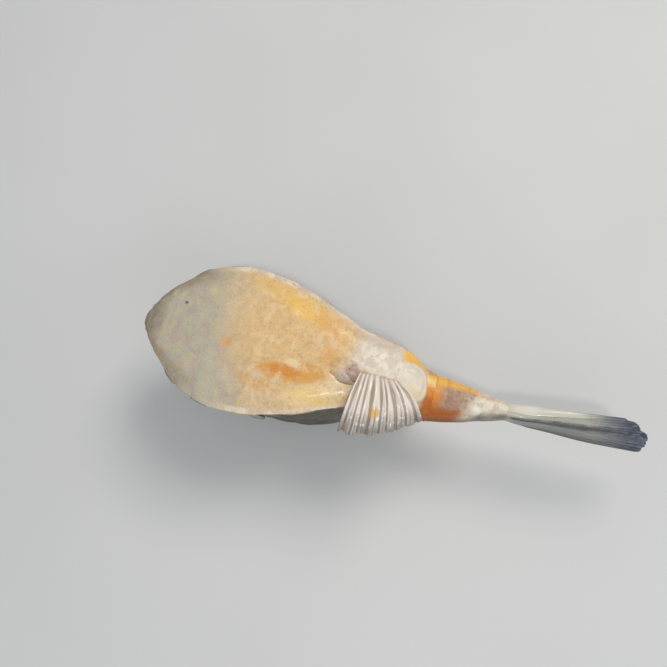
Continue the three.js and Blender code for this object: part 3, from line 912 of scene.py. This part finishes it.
def stalkColour(start, s, place, patchy, fine):
    # gold along the +Y side, deep orange along the other, mottled between, and pale at the fin's root, with
    # painted shade down the middle of the -Y side
    across = attributeOf(start, "stalkSide")
    side = across.stray(patchy, 0.5)
    mottle = place.noise(5.5, 3, 0.6)
    bands = start.node("TexNoise", {"noise_dimensions": "1D"}, {"W": s, "Scale": 0.3, "Detail": 1.0})
    middle = side.stray(fine, 0.4).ease(-0.72, -0.38) * side.ease(0.64, 0.26)
    middle = middle * s.stray(mottle, 12).ease(232, 243)
    spotted = twoTone((mottle * 0.6 + fine * 0.4).ease(0.34, 0.68), "stalkPurple", "stalkMauve")
    cream = twoTone(mottle.ease(0.45, 0.66), "rearCream", "stalkBeige")
    cream = painted(cream, [(side.ease(0.2, 0.7) * mottle.ease(0.4, 0.55) * 0.75, "stalkPeach")])
    return painted(twoTone(side.ease(-0.75, -0.1), "stalkDeep", "stalkOrange"), [
        (side.ease(0.1, 0.5), "stalkGold"),
        (bands.ease(0.48, 0.62) * side.ease(-0.1, 0.4) * 0.5, "stalkOrange"),
        (middle * 0.85, spotted),
        ((s - side * 7).stray(mottle, 18).ease(255, 267), cream),
        # painted shade: a dark brown line down the middle of the stalk's -Y side
        (across.stray(fine, 0.12).ease(-0.86, -1.0) * s.ease(272, 262) * 0.7, "stalkPaintedShade"),
        (side.ease(-0.5, -0.95) * s.ease(262, 270) * 0.85, "stalkGrey"),
        (attributeOf(start, "knob").ease(0.2, 0.7), "shield"),
    ])


def flankColour(s, y, around, seam, broad, patchy, fine):
    # brown-grey plates that darken towards the back, with painted shade just under the rim and a painted
    # shadow over the rear flanks, and orange seams on the head
    seamLine = seam.stray(fine, 0.04).ease(0.075, 0.01) * patchy.ease(0.3, 0.62, 0.15, 0.75)
    seamTone = twoTone(s.stray(patchy, 30).ease(58, 82), "seamOrange", "seamDark")
    rearTone = twoTone(y.ease(-4, 6), "stalkDeep", "stalkOrange")
    return painted(twoTone(patchy.ease(0.4, 0.6), "flank", "flankOlive"), [
        (broad.ease(0.45, 0.7), "flankPurple"),
        (around.stray(patchy, 1.6).ease(4.6, 7.4), "back"),
        # painted shade: a dark band just under the belly's rim, then a painted shadow over the rear flanks
        (around.stray(patchy, 0.5).ease(3.9, 2.75) * 0.9, "paintedFlankShade"),
        (s.stray(patchy, 30).ease(90, 118) * around.ease(7.5, 6.2) * 0.5, "paintedFlankShade"),
        (seamLine * s.ease(12, 26), seamTone),
        (s.stray(patchy, 14).ease(203, 214) * around.ease(7.5, 5.5), rearTone),
    ])


def skinMaterial():
    material, start = newMaterial("carapace skin")
    place = objectPlace(start)
    s = place.axis(0) / mm - snoutX
    y = place.axis(1) / mm
    around = attributeOf(start, "around")
    seam = hexEdgeWires(start)
    broad = place.noise(34, 2)
    patchy = place.noise(13, 4, 0.6)
    fine = place.noise(2.4, 4, 0.65)
    grain = place.noise(0.9, 3, 0.6)

    rim = twoTone(patchy.ease(0.4, 0.6), "rim", "rimPink")
    onRim = around.stray(fine, 0.09).stray(patchy, 0.08).ease(2.22, 2.36) * (s + y * 0.25).ease(48, 88)
    belly = painted(bellyColour(start, s, y, around, seam, patchy, fine), [(onRim * 0.95, rim)])
    belly = rearColour(start, belly, s, y, patchy, fine)
    aside = around.stray(fine, 0.1).ease(2.54, 2.7)
    ventTone = (fine - (s - vent["s"]) * 0.02).stray(patchy, 0.4).ease(0.35, 0.62)
    dots = place.cells(2.6).ease(0.2, 0.12) * place.noise(7, 2).ease(0.48, 0.6) * s.ease(110, 50)
    colour = painted(belly, [
        (aside, flankColour(s, y, around, seam, broad, patchy, fine)),
        (attributeOf(start, "lip") * 0.8, "lip"),
        (attributeOf(start, "orbit") * 0.75, "orbit"),
        (attributeOf(start, "vent") * 0.75, twoTone(ventTone, "ventMauve", "ventLilac")),
        (attributeOf(start, "ventEdge").ease(0.3, 1.0) * 0.75, "ventLine"),
        (attributeOf(start, "onStalk"), stalkColour(start, s, place, patchy, fine)),
        # painted shade: the mouth's line and the gill and nostril slits are painted near black
        (attributeOf(start, "mouth").ease(0.2, 0.8), "paintedSlitShade"),
        (attributeOf(start, "slit").ease(0.25, 0.85) * 0.9, "paintedSlitShade"),
        # fine mottling: dark dots on the head, then pale grains and dark specks all over
        (dots * 0.35, "speck"),
        (grain.ease(0.5, 0.75) * 0.2, "pale"),
        (grain.ease(0.46, 0.3) * 0.28, "speck"),
        (fine.ease(0.44, 0.3) * 0.16, "speck"),
    ])

    granules = place.cells(1.5)
    height = granules.ease(0.0, 0.55, 1.0, 0.0) * 0.5 + grain * 0.35 + fine * 0.5
    wet = place.noise(21, 3).ease(0.45, 0.62)
    nearRim = around.ease(1.8, 2.1) * around.ease(2.75, 2.55)
    surface = start.node("BsdfPrincipled", None, {
        "Base Color": colour,
        "Roughness": 0.5 - wet * 0.14 + (fine - 0.5) * 0.16 + nearRim * 0.16,
        "Coat Weight": (wet * 0.2 + 0.04) * (1 - nearRim * 0.9),
        "Coat Roughness": 0.16,
        "Subsurface Weight": 0.08,
        "Subsurface Radius": (1.0, 0.55, 0.3),
        "Subsurface Scale": 0.0025,
        "Normal": bumpFrom(start, height, 0.22, 0.75),
    })
    finishMaterial(start, surface)
    return material


# Fins: thin closed sheets whose rays branch towards the tips and stand up on both faces.
# place(a, r) gives the middle surface, a across the rays and r out along them.
def rayHeight(a, r, fin):
    uneven = fin["uneven"] * noise.noise(Vector((a * 7, 0.6, 2.2))) * math.sin(math.pi * clamp(a))
    at = a * (fin["rays"] - 1) + uneven
    offset = at - round(at)
    split = 0.2 * smooth(r, 0.35, 0.75)
    branch = 0.085 * smooth(r, 0.68, 0.98)
    width = lerp(fin["rayWidth"], fin["tipWidth"], clamp(r))
    best = 0.0
    for first in (-split, split):
        for second in (-branch, branch):
            best = max(best, bump(offset, first + second, width))
    return best


def finPoint(a, share, ray, face, fin, place):
    # a point on one face of the fin, and how far out along the fin it is
    notch = fin["scallop"] * (1 - ray) * smooth(share, 0.55, 1.0)
    wander = fin["ragged"] * noise.noise(Vector((a * 9, 4.1, 1.3))) * smooth(share, 0.5, 1.0)
    r = lerp(fin["rootSink"], 1 - notch + wander, share)
    out = clamp(r)
    step = 0.004
    across = place(a + step, r) - place(a - step, r)
    outward = place(a, r + step) - place(a, r - step)
    normal = across.cross(outward).normalized()

    thick = lerp(fin["rootHalf"], fin["tipHalf"], out ** fin["thinning"])
    oval = math.sqrt(max(1 - (2 * a - 1) ** 4, 0.0))
    thick *= lerp(oval, 1, smooth(r, 0, fin["ovalRoot"]))
    half = thick * lerp(fin["membrane"], 1.0, lerp(0.5, ray, smooth(r, -0.02, 0.16)))
    rim = min(a / fin["rim"], (1 - a) / fin["rim"], (1 - share) / fin["rim"], 1.0)
    half *= math.sqrt(max(1 - (1 - max(rim, 0)) ** 2, 0.02))

    pleats = math.sin(math.pi * min(out, 0.75)) * math.sin(math.pi * a * (fin["rays"] - 1))
    waves = noise.noise(Vector((a * 5, r * 2.2, 7.7))) * out
    return place(a, r) + normal * (fin["pleat"] * pleats + fin["wave"] * waves + face * half), out


def addFin(name, fin, place, material, slotName, *nodes):
    bm = bmesh.new()
    # the layers come first, because adding one drops any held vertices
    rayLayer = bm.verts.layers.float.new("ray")
    outLayer = bm.verts.layers.float.new("out")
    uvLayer = bm.loops.layers.uv.new("Fin")
    columns = (fin["rays"] - 1) * fin["perRay"]
    bmesh.ops.create_grid(bm, x_segments=columns, y_segments=fin["rows"], size=0.5)
    grown = bmesh.ops.extrude_face_region(bm, geom=bm.faces[:])
    upper = {v for v in grown["geom"] if isinstance(v, bmesh.types.BMVert)}
    facts = {}
    for vert in bm.verts:
        a = vert.co.x + 0.5
        share = vert.co.y + 0.5
        ray = rayHeight(a, share, fin)
        point, out = finPoint(a, share, ray, 1 if vert in upper else -1, fin, place)
        vert.co = point * mm
        vert[rayLayer] = ray
        vert[outLayer] = out
        facts[vert] = (a, out)
    for face in bm.faces:
        for loop in face.loops:
            loop[uvLayer].uv = facts[loop.vert]
    bmesh.ops.recalc_face_normals(bm, faces=bm.faces[:])
    if bm.calc_volume(signed=True) < 0:
        bmesh.ops.reverse_faces(bm, faces=bm.faces[:])
    return finishPiece(name, bm, material, slotName, *nodes)


# rays and mesh, thickness, the shape of a ray and of the tip's edge, and the fin's own place
tailFin = {
    "rays": 10, "perRay": 22, "rows": 150, "rim": 0.02,
    "rootSink": -0.06, "ovalRoot": 0.25, "rootHalf": 6.6, "tipHalf": 0.6, "thinning": 0.75,
    "membrane": 0.55, "rayWidth": 0.3, "tipWidth": 0.1, "uneven": 0.3,
    "pleat": 1.1, "wave": 2.0, "scallop": 0.008, "ragged": 0.012,
    "rootHeight": 21.5, "endHeight": 54, "drawnIn": 0.3,
}
analFin = {
    "rays": 10, "perRay": 22, "rows": 110, "rim": 0.02,
    "rootSink": -0.12, "ovalRoot": 0.02, "rootHalf": 1.9, "tipHalf": 0.35, "thinning": 0.6,
    "membrane": 0.3, "rayWidth": 0.4, "tipWidth": 0.09, "uneven": 0.7,
    "pleat": 0.9, "wave": 2.6, "scallop": 0.03, "ragged": 0.05,
    "rootFrom": 175, "rootTo": 201, "tipFrom": 169, "tipTo": 226,
    "side": -3.5, "reach": 45, "rearReach": 21, "rise": 9,
}
dorsalFin = {
    "rays": 9, "perRay": 16, "rows": 64, "rim": 0.02,
    "rootSink": -0.2, "ovalRoot": 0.05, "rootHalf": 1.7, "tipHalf": 0.3, "thinning": 0.6,
    "membrane": 0.4, "rayWidth": 0.2, "tipWidth": 0.05, "uneven": 0.2,
    "pleat": 0.5, "wave": 1.0, "scallop": 0.05, "ragged": 0.012,
    "rootFrom": 184, "rootTo": 207, "frontLength": 40, "rearLength": 24,
    "frontLean": 0.5, "rearLean": 0.05, "sideways": 5,
}
pectoralFin = {
    "rays": 11, "perRay": 18, "rows": 88, "rim": 0.02,
    "rootSink": -0.14, "ovalRoot": 0.05, "rootHalf": 2.1, "tipHalf": 0.3, "thinning": 0.6,
    "membrane": 0.38, "rayWidth": 0.22, "tipWidth": 0.05, "uneven": 0.2,
    "pleat": 0.6, "wave": 1.2, "scallop": 0.05, "ragged": 0.012,
    "frontRoot": (70, 34), "rearRoot": (84, 24), "frontRay": (23, 50), "rearRay": (25, 26), "bow": 0.16,
}


def tailFinPlace(a, r):
    rounding = 1 - tailFin["drawnIn"] * max(1 - a, 0) ** 2.4 - 0.05 * max(a, 0) ** 4
    s = finBase + fish["tailFinLength"] * r * rounding
    height = lerp(tailFin["rootHeight"], tailFin["endHeight"], max(r, 0) ** 0.75) * (1 + 5 * min(r, 0))
    return tailPoint(s, 0, (0.5 - a) * height)


def analFinPlace(a, r):
    lie = max(r, 0)
    rootS = lerp(analFin["rootFrom"], analFin["rootTo"], a)
    s = lerp(rootS, lerp(analFin["tipFrom"], analFin["tipTo"], a), lie * (1.6 - 0.6 * lie))
    reach = lerp(analFin["reach"], analFin["rearReach"], max(a, 0) ** 2.4)
    rise = analFin["rise"] * (max(math.sin(math.pi * min(lie * 0.85, 1)), 0) ** 0.8 - lie**2.2)
    side = analFin["side"] - reach * max(lie - 0.06, 0) / 0.94
    return Vector((placed(s, 0, 0).x, side, skinPoint(rootS, 0).z + rise + min(r, 0) * 30))


def dorsalFinPlace(a, r):
    rootS = lerp(dorsalFin["rootFrom"], dorsalFin["rootTo"], a)
    lean = lerp(dorsalFin["frontLean"], dorsalFin["rearLean"], a)
    out = lerp(dorsalFin["frontLength"], dorsalFin["rearLength"], a) * r
    point = skinPoint(rootS, plates["back"])
    side = dorsalFin["sideways"] * max(r, 0) ** 1.5
    return Vector((point.x + out * math.cos(lean), side, point.z - out * math.sin(lean) - 1.2 * r))


def pectoralFinPlace(side):
    def place(a, r):
        fin = pectoralFin
        out = r * (1 + fin["bow"] * math.sin(math.pi * clamp(a)))
        s, depth = (lerp(fin["frontRoot"][i], fin["rearRoot"][i], a)
                    + lerp(fin["frontRay"][i], fin["rearRay"][i], a) * out for i in (0, 1))
        section = sectionAt(s)
        t = clamp((depth - section["ridge"]) / (section["shoulder"] - section["ridge"]))
        off = -1.5 + 4.7 * smooth(r, -0.1, 0.4) + 0.4 * r
        return placed(s, side * (flankHalf(section, t) + off), depth)
    return place


def rayNoise(start, plane, across, along, detail):
    # noise drawn out along the rays
    drawn = start.node("CombineXYZ", None, {0: plane.axis(0) * across, 1: plane.axis(1) * along})
    values = {"Vector": drawn, "Scale": 1.0, "Detail": detail}
    return start.node("TexNoise", {"noise_dimensions": "2D"}, values)


def bandMask(band, across, reach):
    # a band's place across the fin, and where it starts and stops along it
    mask = across.ease(band["from"] - 0.05, band["from"] + 0.03) * band["much"]
    mask = mask * across.ease(band["to"] + 0.05, band["to"] - 0.03)
    mask = mask * reach.ease(band["start"] - 0.1, band["start"] + 0.06)
    if "stop" in band:
        mask = mask * reach.ease(band["stop"] + 0.08, band["stop"] - 0.06)
    return mask


def finMaterial(name, tones, clear):
    material, start = newMaterial(name)
    place = objectPlace(start)
    ray = attributeOf(start, "ray")
    out = attributeOf(start, "out")
    plane = start.node("UVMap", {"uv_map": "Fin"})
    across = plane.axis(0)
    patchy = place.noise(9, 3, 0.6)
    fine = place.noise(1.6, 3, 0.6)
    streak = rayNoise(start, plane, 42.0, 3.0, 3.0)
    colour = ray.stray(fine, 0.3).stray(streak, 0.9).ease(0.15, 0.75).blend(tones["membrane"], tones["ray"])
    for band in tones.get("bands", ()):
        mask = bandMask(band, across.stray(patchy, 0.1).stray(fine, 0.05), out.stray(fine, 0.12))
        colour = mask.blend(colour, band["tone"])
    colour = out.stray(patchy, 0.1).ease(tones["rootReach"], 0.0).blend(colour, tones["root"])
    tip = tones["tip"]
    if "tipRay" in tones:
        tip = (ray.ease(0.5, 0.95) * patchy.ease(0.4, 0.6)).blend(tip, tones["tipRay"])
    colour = (out.stray(patchy, 0.3).ease(0.6, 0.95) * tones["tipShare"]).blend(colour, tip)
    if "crease" in tones:
        # the folded root, and the gaps between the rays near it
        nearRoot = out.stray(fine, 0.04)
        gaps = ray.ease(0.55, 0.2) * out.stray(patchy, 0.4).ease(0.42, 0.1) * 0.45
        crease = gaps.most(nearRoot.ease(0.12, 0.05) * nearRoot.ease(-0.02, 0.02))
        colour = (crease * patchy.ease(0.35, 0.6, 0.3, 0.9)).blend(colour, tones["crease"])
    if "spot" in tones:
        aside = (across - tones["spotAt"][0]) / tones["spotHalf"][0]
        ahead = (out - tones["spotAt"][1]) / tones["spotHalf"][1]
        colour = ((aside * aside + ahead * ahead).ease(1.5, 0.1) * 0.9).blend(colour, tones["spot"])
    if "paintedGlint" in tones:
        # painted highlights: small white wet glints painted into the colour on the outer half
        outer = (out + (across - 0.5) * 0.2).ease(0.46, 0.6) * out.stray(patchy, 0.2).ease(0.94, 0.8)
        paintedGlints = rayNoise(start, plane, 26.0, 11.0, 2.0).ease(0.63, 0.68) * ray.ease(0.3, 0.6)
        colour = (paintedGlints * outer).blend(colour, tones["paintedGlint"])
    joints = start.maths("SINE", out * 250 + patchy * 4.0).ease(0.4, 1.0) * ray * out.ease(0.2, 0.5)
    height = fine * 0.5 + streak * 0.9 + joints * 0.4
    opaque = (ray.ease(0.1, 0.7) + out.ease(0.35, 0.05)).least(1.0)
    surface = start.node("BsdfPrincipled", None, {
        "Base Color": colour,
        "Roughness": 0.34 + fine * 0.12,
        "Coat Weight": patchy.ease(0.4, 0.6, 0.2, 0.7),
        "Coat Roughness": 0.08,
        "Alpha": opaque.ease(0.0, 1.0, clear, 1.0),
        "Normal": bumpFrom(start, height, 0.12, 0.8),
    })
    finishMaterial(start, surface)
    return material


analFinTones = {
    "membrane": tone(206, 184, 166),
    "ray": tone(240, 228, 213),
    "root": tone(236, 222, 202),
    "rootReach": 0.1,
    "tip": tone(118, 103, 95),
    "tipRay": tone(184, 174, 164),
    "tipShare": 0.8,
    "crease": tone(180, 134, 120),
    # white for the painted highlights on the fin
    "paintedGlint": tone(255, 255, 255),
    "spot": tone(232, 182, 94),
    "spotAt": (0.42, 0.66),
    "spotHalf": (0.075, 0.1),
}
paleBand = tone(206, 201, 183)
darkBand = tone(92, 88, 86)
tailFinTones = {
    "membrane": tone(128, 127, 122),
    "ray": tone(172, 169, 158),
    "root": tone(216, 206, 186),
    "rootReach": 0.09,
    "tip": tone(52, 60, 78),
    "tipRay": tone(112, 124, 144),
    "tipShare": 0.95,
    # from the fin's upper edge to its lower one
    "bands": [
        {"from": -0.2, "to": 0.27, "start": 0.0, "tone": paleBand, "much": 0.95},
        {"from": 0.29, "to": 0.47, "start": 0.02, "tone": darkBand, "much": 0.95},
        {"from": 0.49, "to": 0.8, "start": 0.1, "tone": tone(158, 158, 152), "much": 0.75},
        {"from": 0.86, "to": 1.2, "start": 0.1, "tone": darkBand, "much": 0.7},
        {"from": -0.2, "to": 0.16, "start": -0.2, "stop": 0.26, "tone": tone(226, 219, 202), "much": 0.9},
    ],
}
flankFinTones = {
    "membrane": tone(142, 138, 126),
    "ray": tone(208, 200, 182),
    "root": tone(200, 188, 164),
    "rootReach": 0.3,
    "tip": tone(116, 110, 102),
    "tipShare": 0.45,
}


def addEye(side, material):
    # a ball with a low cornea, its pole turned to look out of the head
    seat, out = seatFrame(eye["s"], side * eye["plate"])
    centre = seat - out * eye["sunk"]
    turn = Vector((0, 0, 1)).rotation_difference(out).to_matrix().to_4x4()
    bm = bmesh.new()
    bmesh.ops.create_uvsphere(bm, u_segments=96, v_segments=72, radius=eye["radius"])
    gaze = bm.verts.layers.float.new("gaze")
    for vert in bm.verts:
        angle = math.atan2(vert.co.xy.length, vert.co.z)
        vert[gaze] = angle
        vert.co *= 1 + 0.045 * math.exp(-((angle / 0.42) ** 4)) - 0.006 * bump(angle, 0.52, 0.05)
    seated = Matrix.Scale(mm, 4) @ Matrix.Translation(centre) @ turn
    bmesh.ops.transform(bm, matrix=seated, verts=bm.verts[:])
    word = "right" if side < 0 else "left"
    return finishPiece("eyeball_" + word, bm, material, "eye", "eye_" + word)


# the edges of the eye's rings, as angles from the middle of its gaze
eyeRings = {
    "cloud": (0.22, 0.02),
    "pupil": (0.36, 0.41),
    "paleRing": (0.43, 0.49),
    "mottled": (0.56, 0.62),
    "iris": (0.68, 0.8),
}
eyeTones = {
    "cloud": tone(60, 74, 92),
    "pupil": tone(16, 20, 28),
    "paleRing": tone(204, 194, 150),
    "iris": tone(104, 98, 72),
    "irisFleck": tone(150, 142, 108),
    "mottled": tone(158, 150, 122),
    "outside": tone(70, 64, 50),
}


def eyeMaterial():
    material, start = newMaterial("wet eye")
    place = objectPlace(start)
    gaze = attributeOf(start, "gaze")
    flecks = place.noise(0.8, 3, 0.7)
    ringed = gaze.stray(place.noise(2.6, 3, 0.6), 0.05)
    iris = flecks.ease(0.35, 0.65).blend(eyeTones["iris"], eyeTones["irisFleck"])
    colour = ringed.ease(*eyeRings["pupil"]).blend(eyeTones["pupil"], eyeTones["paleRing"])
    colour = ringed.ease(*eyeRings["paleRing"]).blend(colour, iris)
    colour = ringed.ease(*eyeRings["cloud"]).blend(colour, eyeTones["cloud"])
    clouded = place.noise(5, 2).ease(0.42, 0.58)
    colour = (ringed.ease(*eyeRings["mottled"]) * clouded).blend(colour, eyeTones["mottled"])
    colour = ringed.ease(*eyeRings["iris"]).blend(colour, eyeTones["outside"])
    surface = start.node("BsdfPrincipled", None, {
        "Base Color": colour,
        "Roughness": 0.18,
        "Coat Weight": 1.0,
        "Coat Roughness": 0.02,
        "Normal": bumpFrom(start, flecks, 0.05, 0.4),
    })
    finishMaterial(start, surface)
    return material


# The floor, the light and the camera
stage = {
    "floorSize": 6.0,
    "floorTone": tone(214, 213, 210),
    "floorCloud": tone(220, 219, 216),
    "skyTone": tone(226, 232, 240),
    "skyStrength": 0.43,
}
camera = {
    "s": 186,
    "y": -120,
    "high": 611,
    "tilt": 16.2,
    "roll": 15.3,
    "focal": 700,
    "imageWidth": 667,
    "sensorWidth": 36,
}
lamps = [
    {"name": "key", "place": (0.3, 0.85, 1.5), "size": 0.8, "power": 12.6, "tone": (1.0, 0.98, 0.94)},
    {"name": "fill", "place": (0.9, -0.9, 1.1), "size": 1.4, "power": 4.4, "tone": (0.9, 0.95, 1.0)},
    {"name": "spark", "place": (0.1, -0.45, 1.45), "size": 0.1, "power": 3.5, "tone": (1.0, 1.0, 1.0)},
]


def addStage():
    material, start = newMaterial("pale floor")
    cloud = objectPlace(start).noise(400, 2)
    colour = cloud.ease(0.3, 0.7).blend(stage["floorTone"], stage["floorCloud"])
    surface = start.node("BsdfPrincipled", None, {"Base Color": colour, "Roughness": 0.8})
    finishMaterial(start, surface)
    bm = bmesh.new()
    bmesh.ops.create_grid(bm, x_segments=1, y_segments=1, size=stage["floorSize"] / 2)
    mesh = bpy.data.meshes.new("floor")
    bm.to_mesh(mesh)
    bm.free()
    mesh.materials.append(material)
    floor = bpy.data.objects.new("floor", mesh)
    bpy.context.scene.collection.objects.link(floor)

    world = bpy.data.worlds.new("soft sky")
    world.use_nodes = True
    background = world.node_tree.nodes["Background"]
    background.inputs["Color"].default_value = stage["skyTone"]
    background.inputs["Strength"].default_value = stage["skyStrength"]
    bpy.context.scene.world = world
    for lamp in lamps:
        light = bpy.data.lights.new(lamp["name"], "AREA")
        light.size = lamp["size"]
        light.energy = lamp["power"]
        light.color = lamp["tone"]
        holder = bpy.data.objects.new(lamp["name"], light)
        bpy.context.scene.collection.objects.link(holder)
        holder.location = lamp["place"]
        holder.rotation_euler = (-Vector(lamp["place"])).to_track_quat("-Z", "Y").to_euler()
    bpy.context.scene.view_settings.view_transform = "Standard"


def addCamera():
    lens = bpy.data.cameras.new("photo view")
    lens.sensor_width = camera["sensorWidth"]
    lens.lens = camera["focal"] / camera["imageWidth"] * camera["sensorWidth"]
    lens.clip_start = 0.01
    holder = bpy.data.objects.new("photo view", lens)
    bpy.context.scene.collection.objects.link(holder)
    holder.location = (camera["s"] + snoutX) * mm, camera["y"] * mm, camera["high"] * mm
    tilt = Matrix.Rotation(math.radians(camera["tilt"]), 4, "X")
    holder.rotation_euler = (Matrix.Rotation(math.radians(camera["roll"]), 4, "Z") @ tilt).to_euler()
    bpy.context.scene.camera = holder


addCamera()
addStage()
print("stage and camera ready")
addSkin(skinMaterial())
addFin("tail_fin_rays", tailFin, tailFinPlace,
       finMaterial("tail fin membrane", tailFinTones, 0.92), "tail_fin_membrane", "tail_fin")
addFin("anal_fin_rays", analFin, analFinPlace,
       finMaterial("anal fin membrane", analFinTones, 0.55), "fin_membrane", "anal_fin")
flankFin = finMaterial("flank fin membrane", flankFinTones, 0.7)
addFin("dorsal_fin_rays", dorsalFin, dorsalFinPlace, flankFin, "fin_membrane", "dorsal_fin")
for side, word in ((-1, "right"), (1, "left")):
    addFin("pectoral_fin_rays_" + word, pectoralFin, pectoralFinPlace(side), flankFin,
           "fin_membrane", "pectoral_fin_" + word)
eyeFinish = eyeMaterial()
for side in (-1, 1):
    addEye(side, eyeFinish)
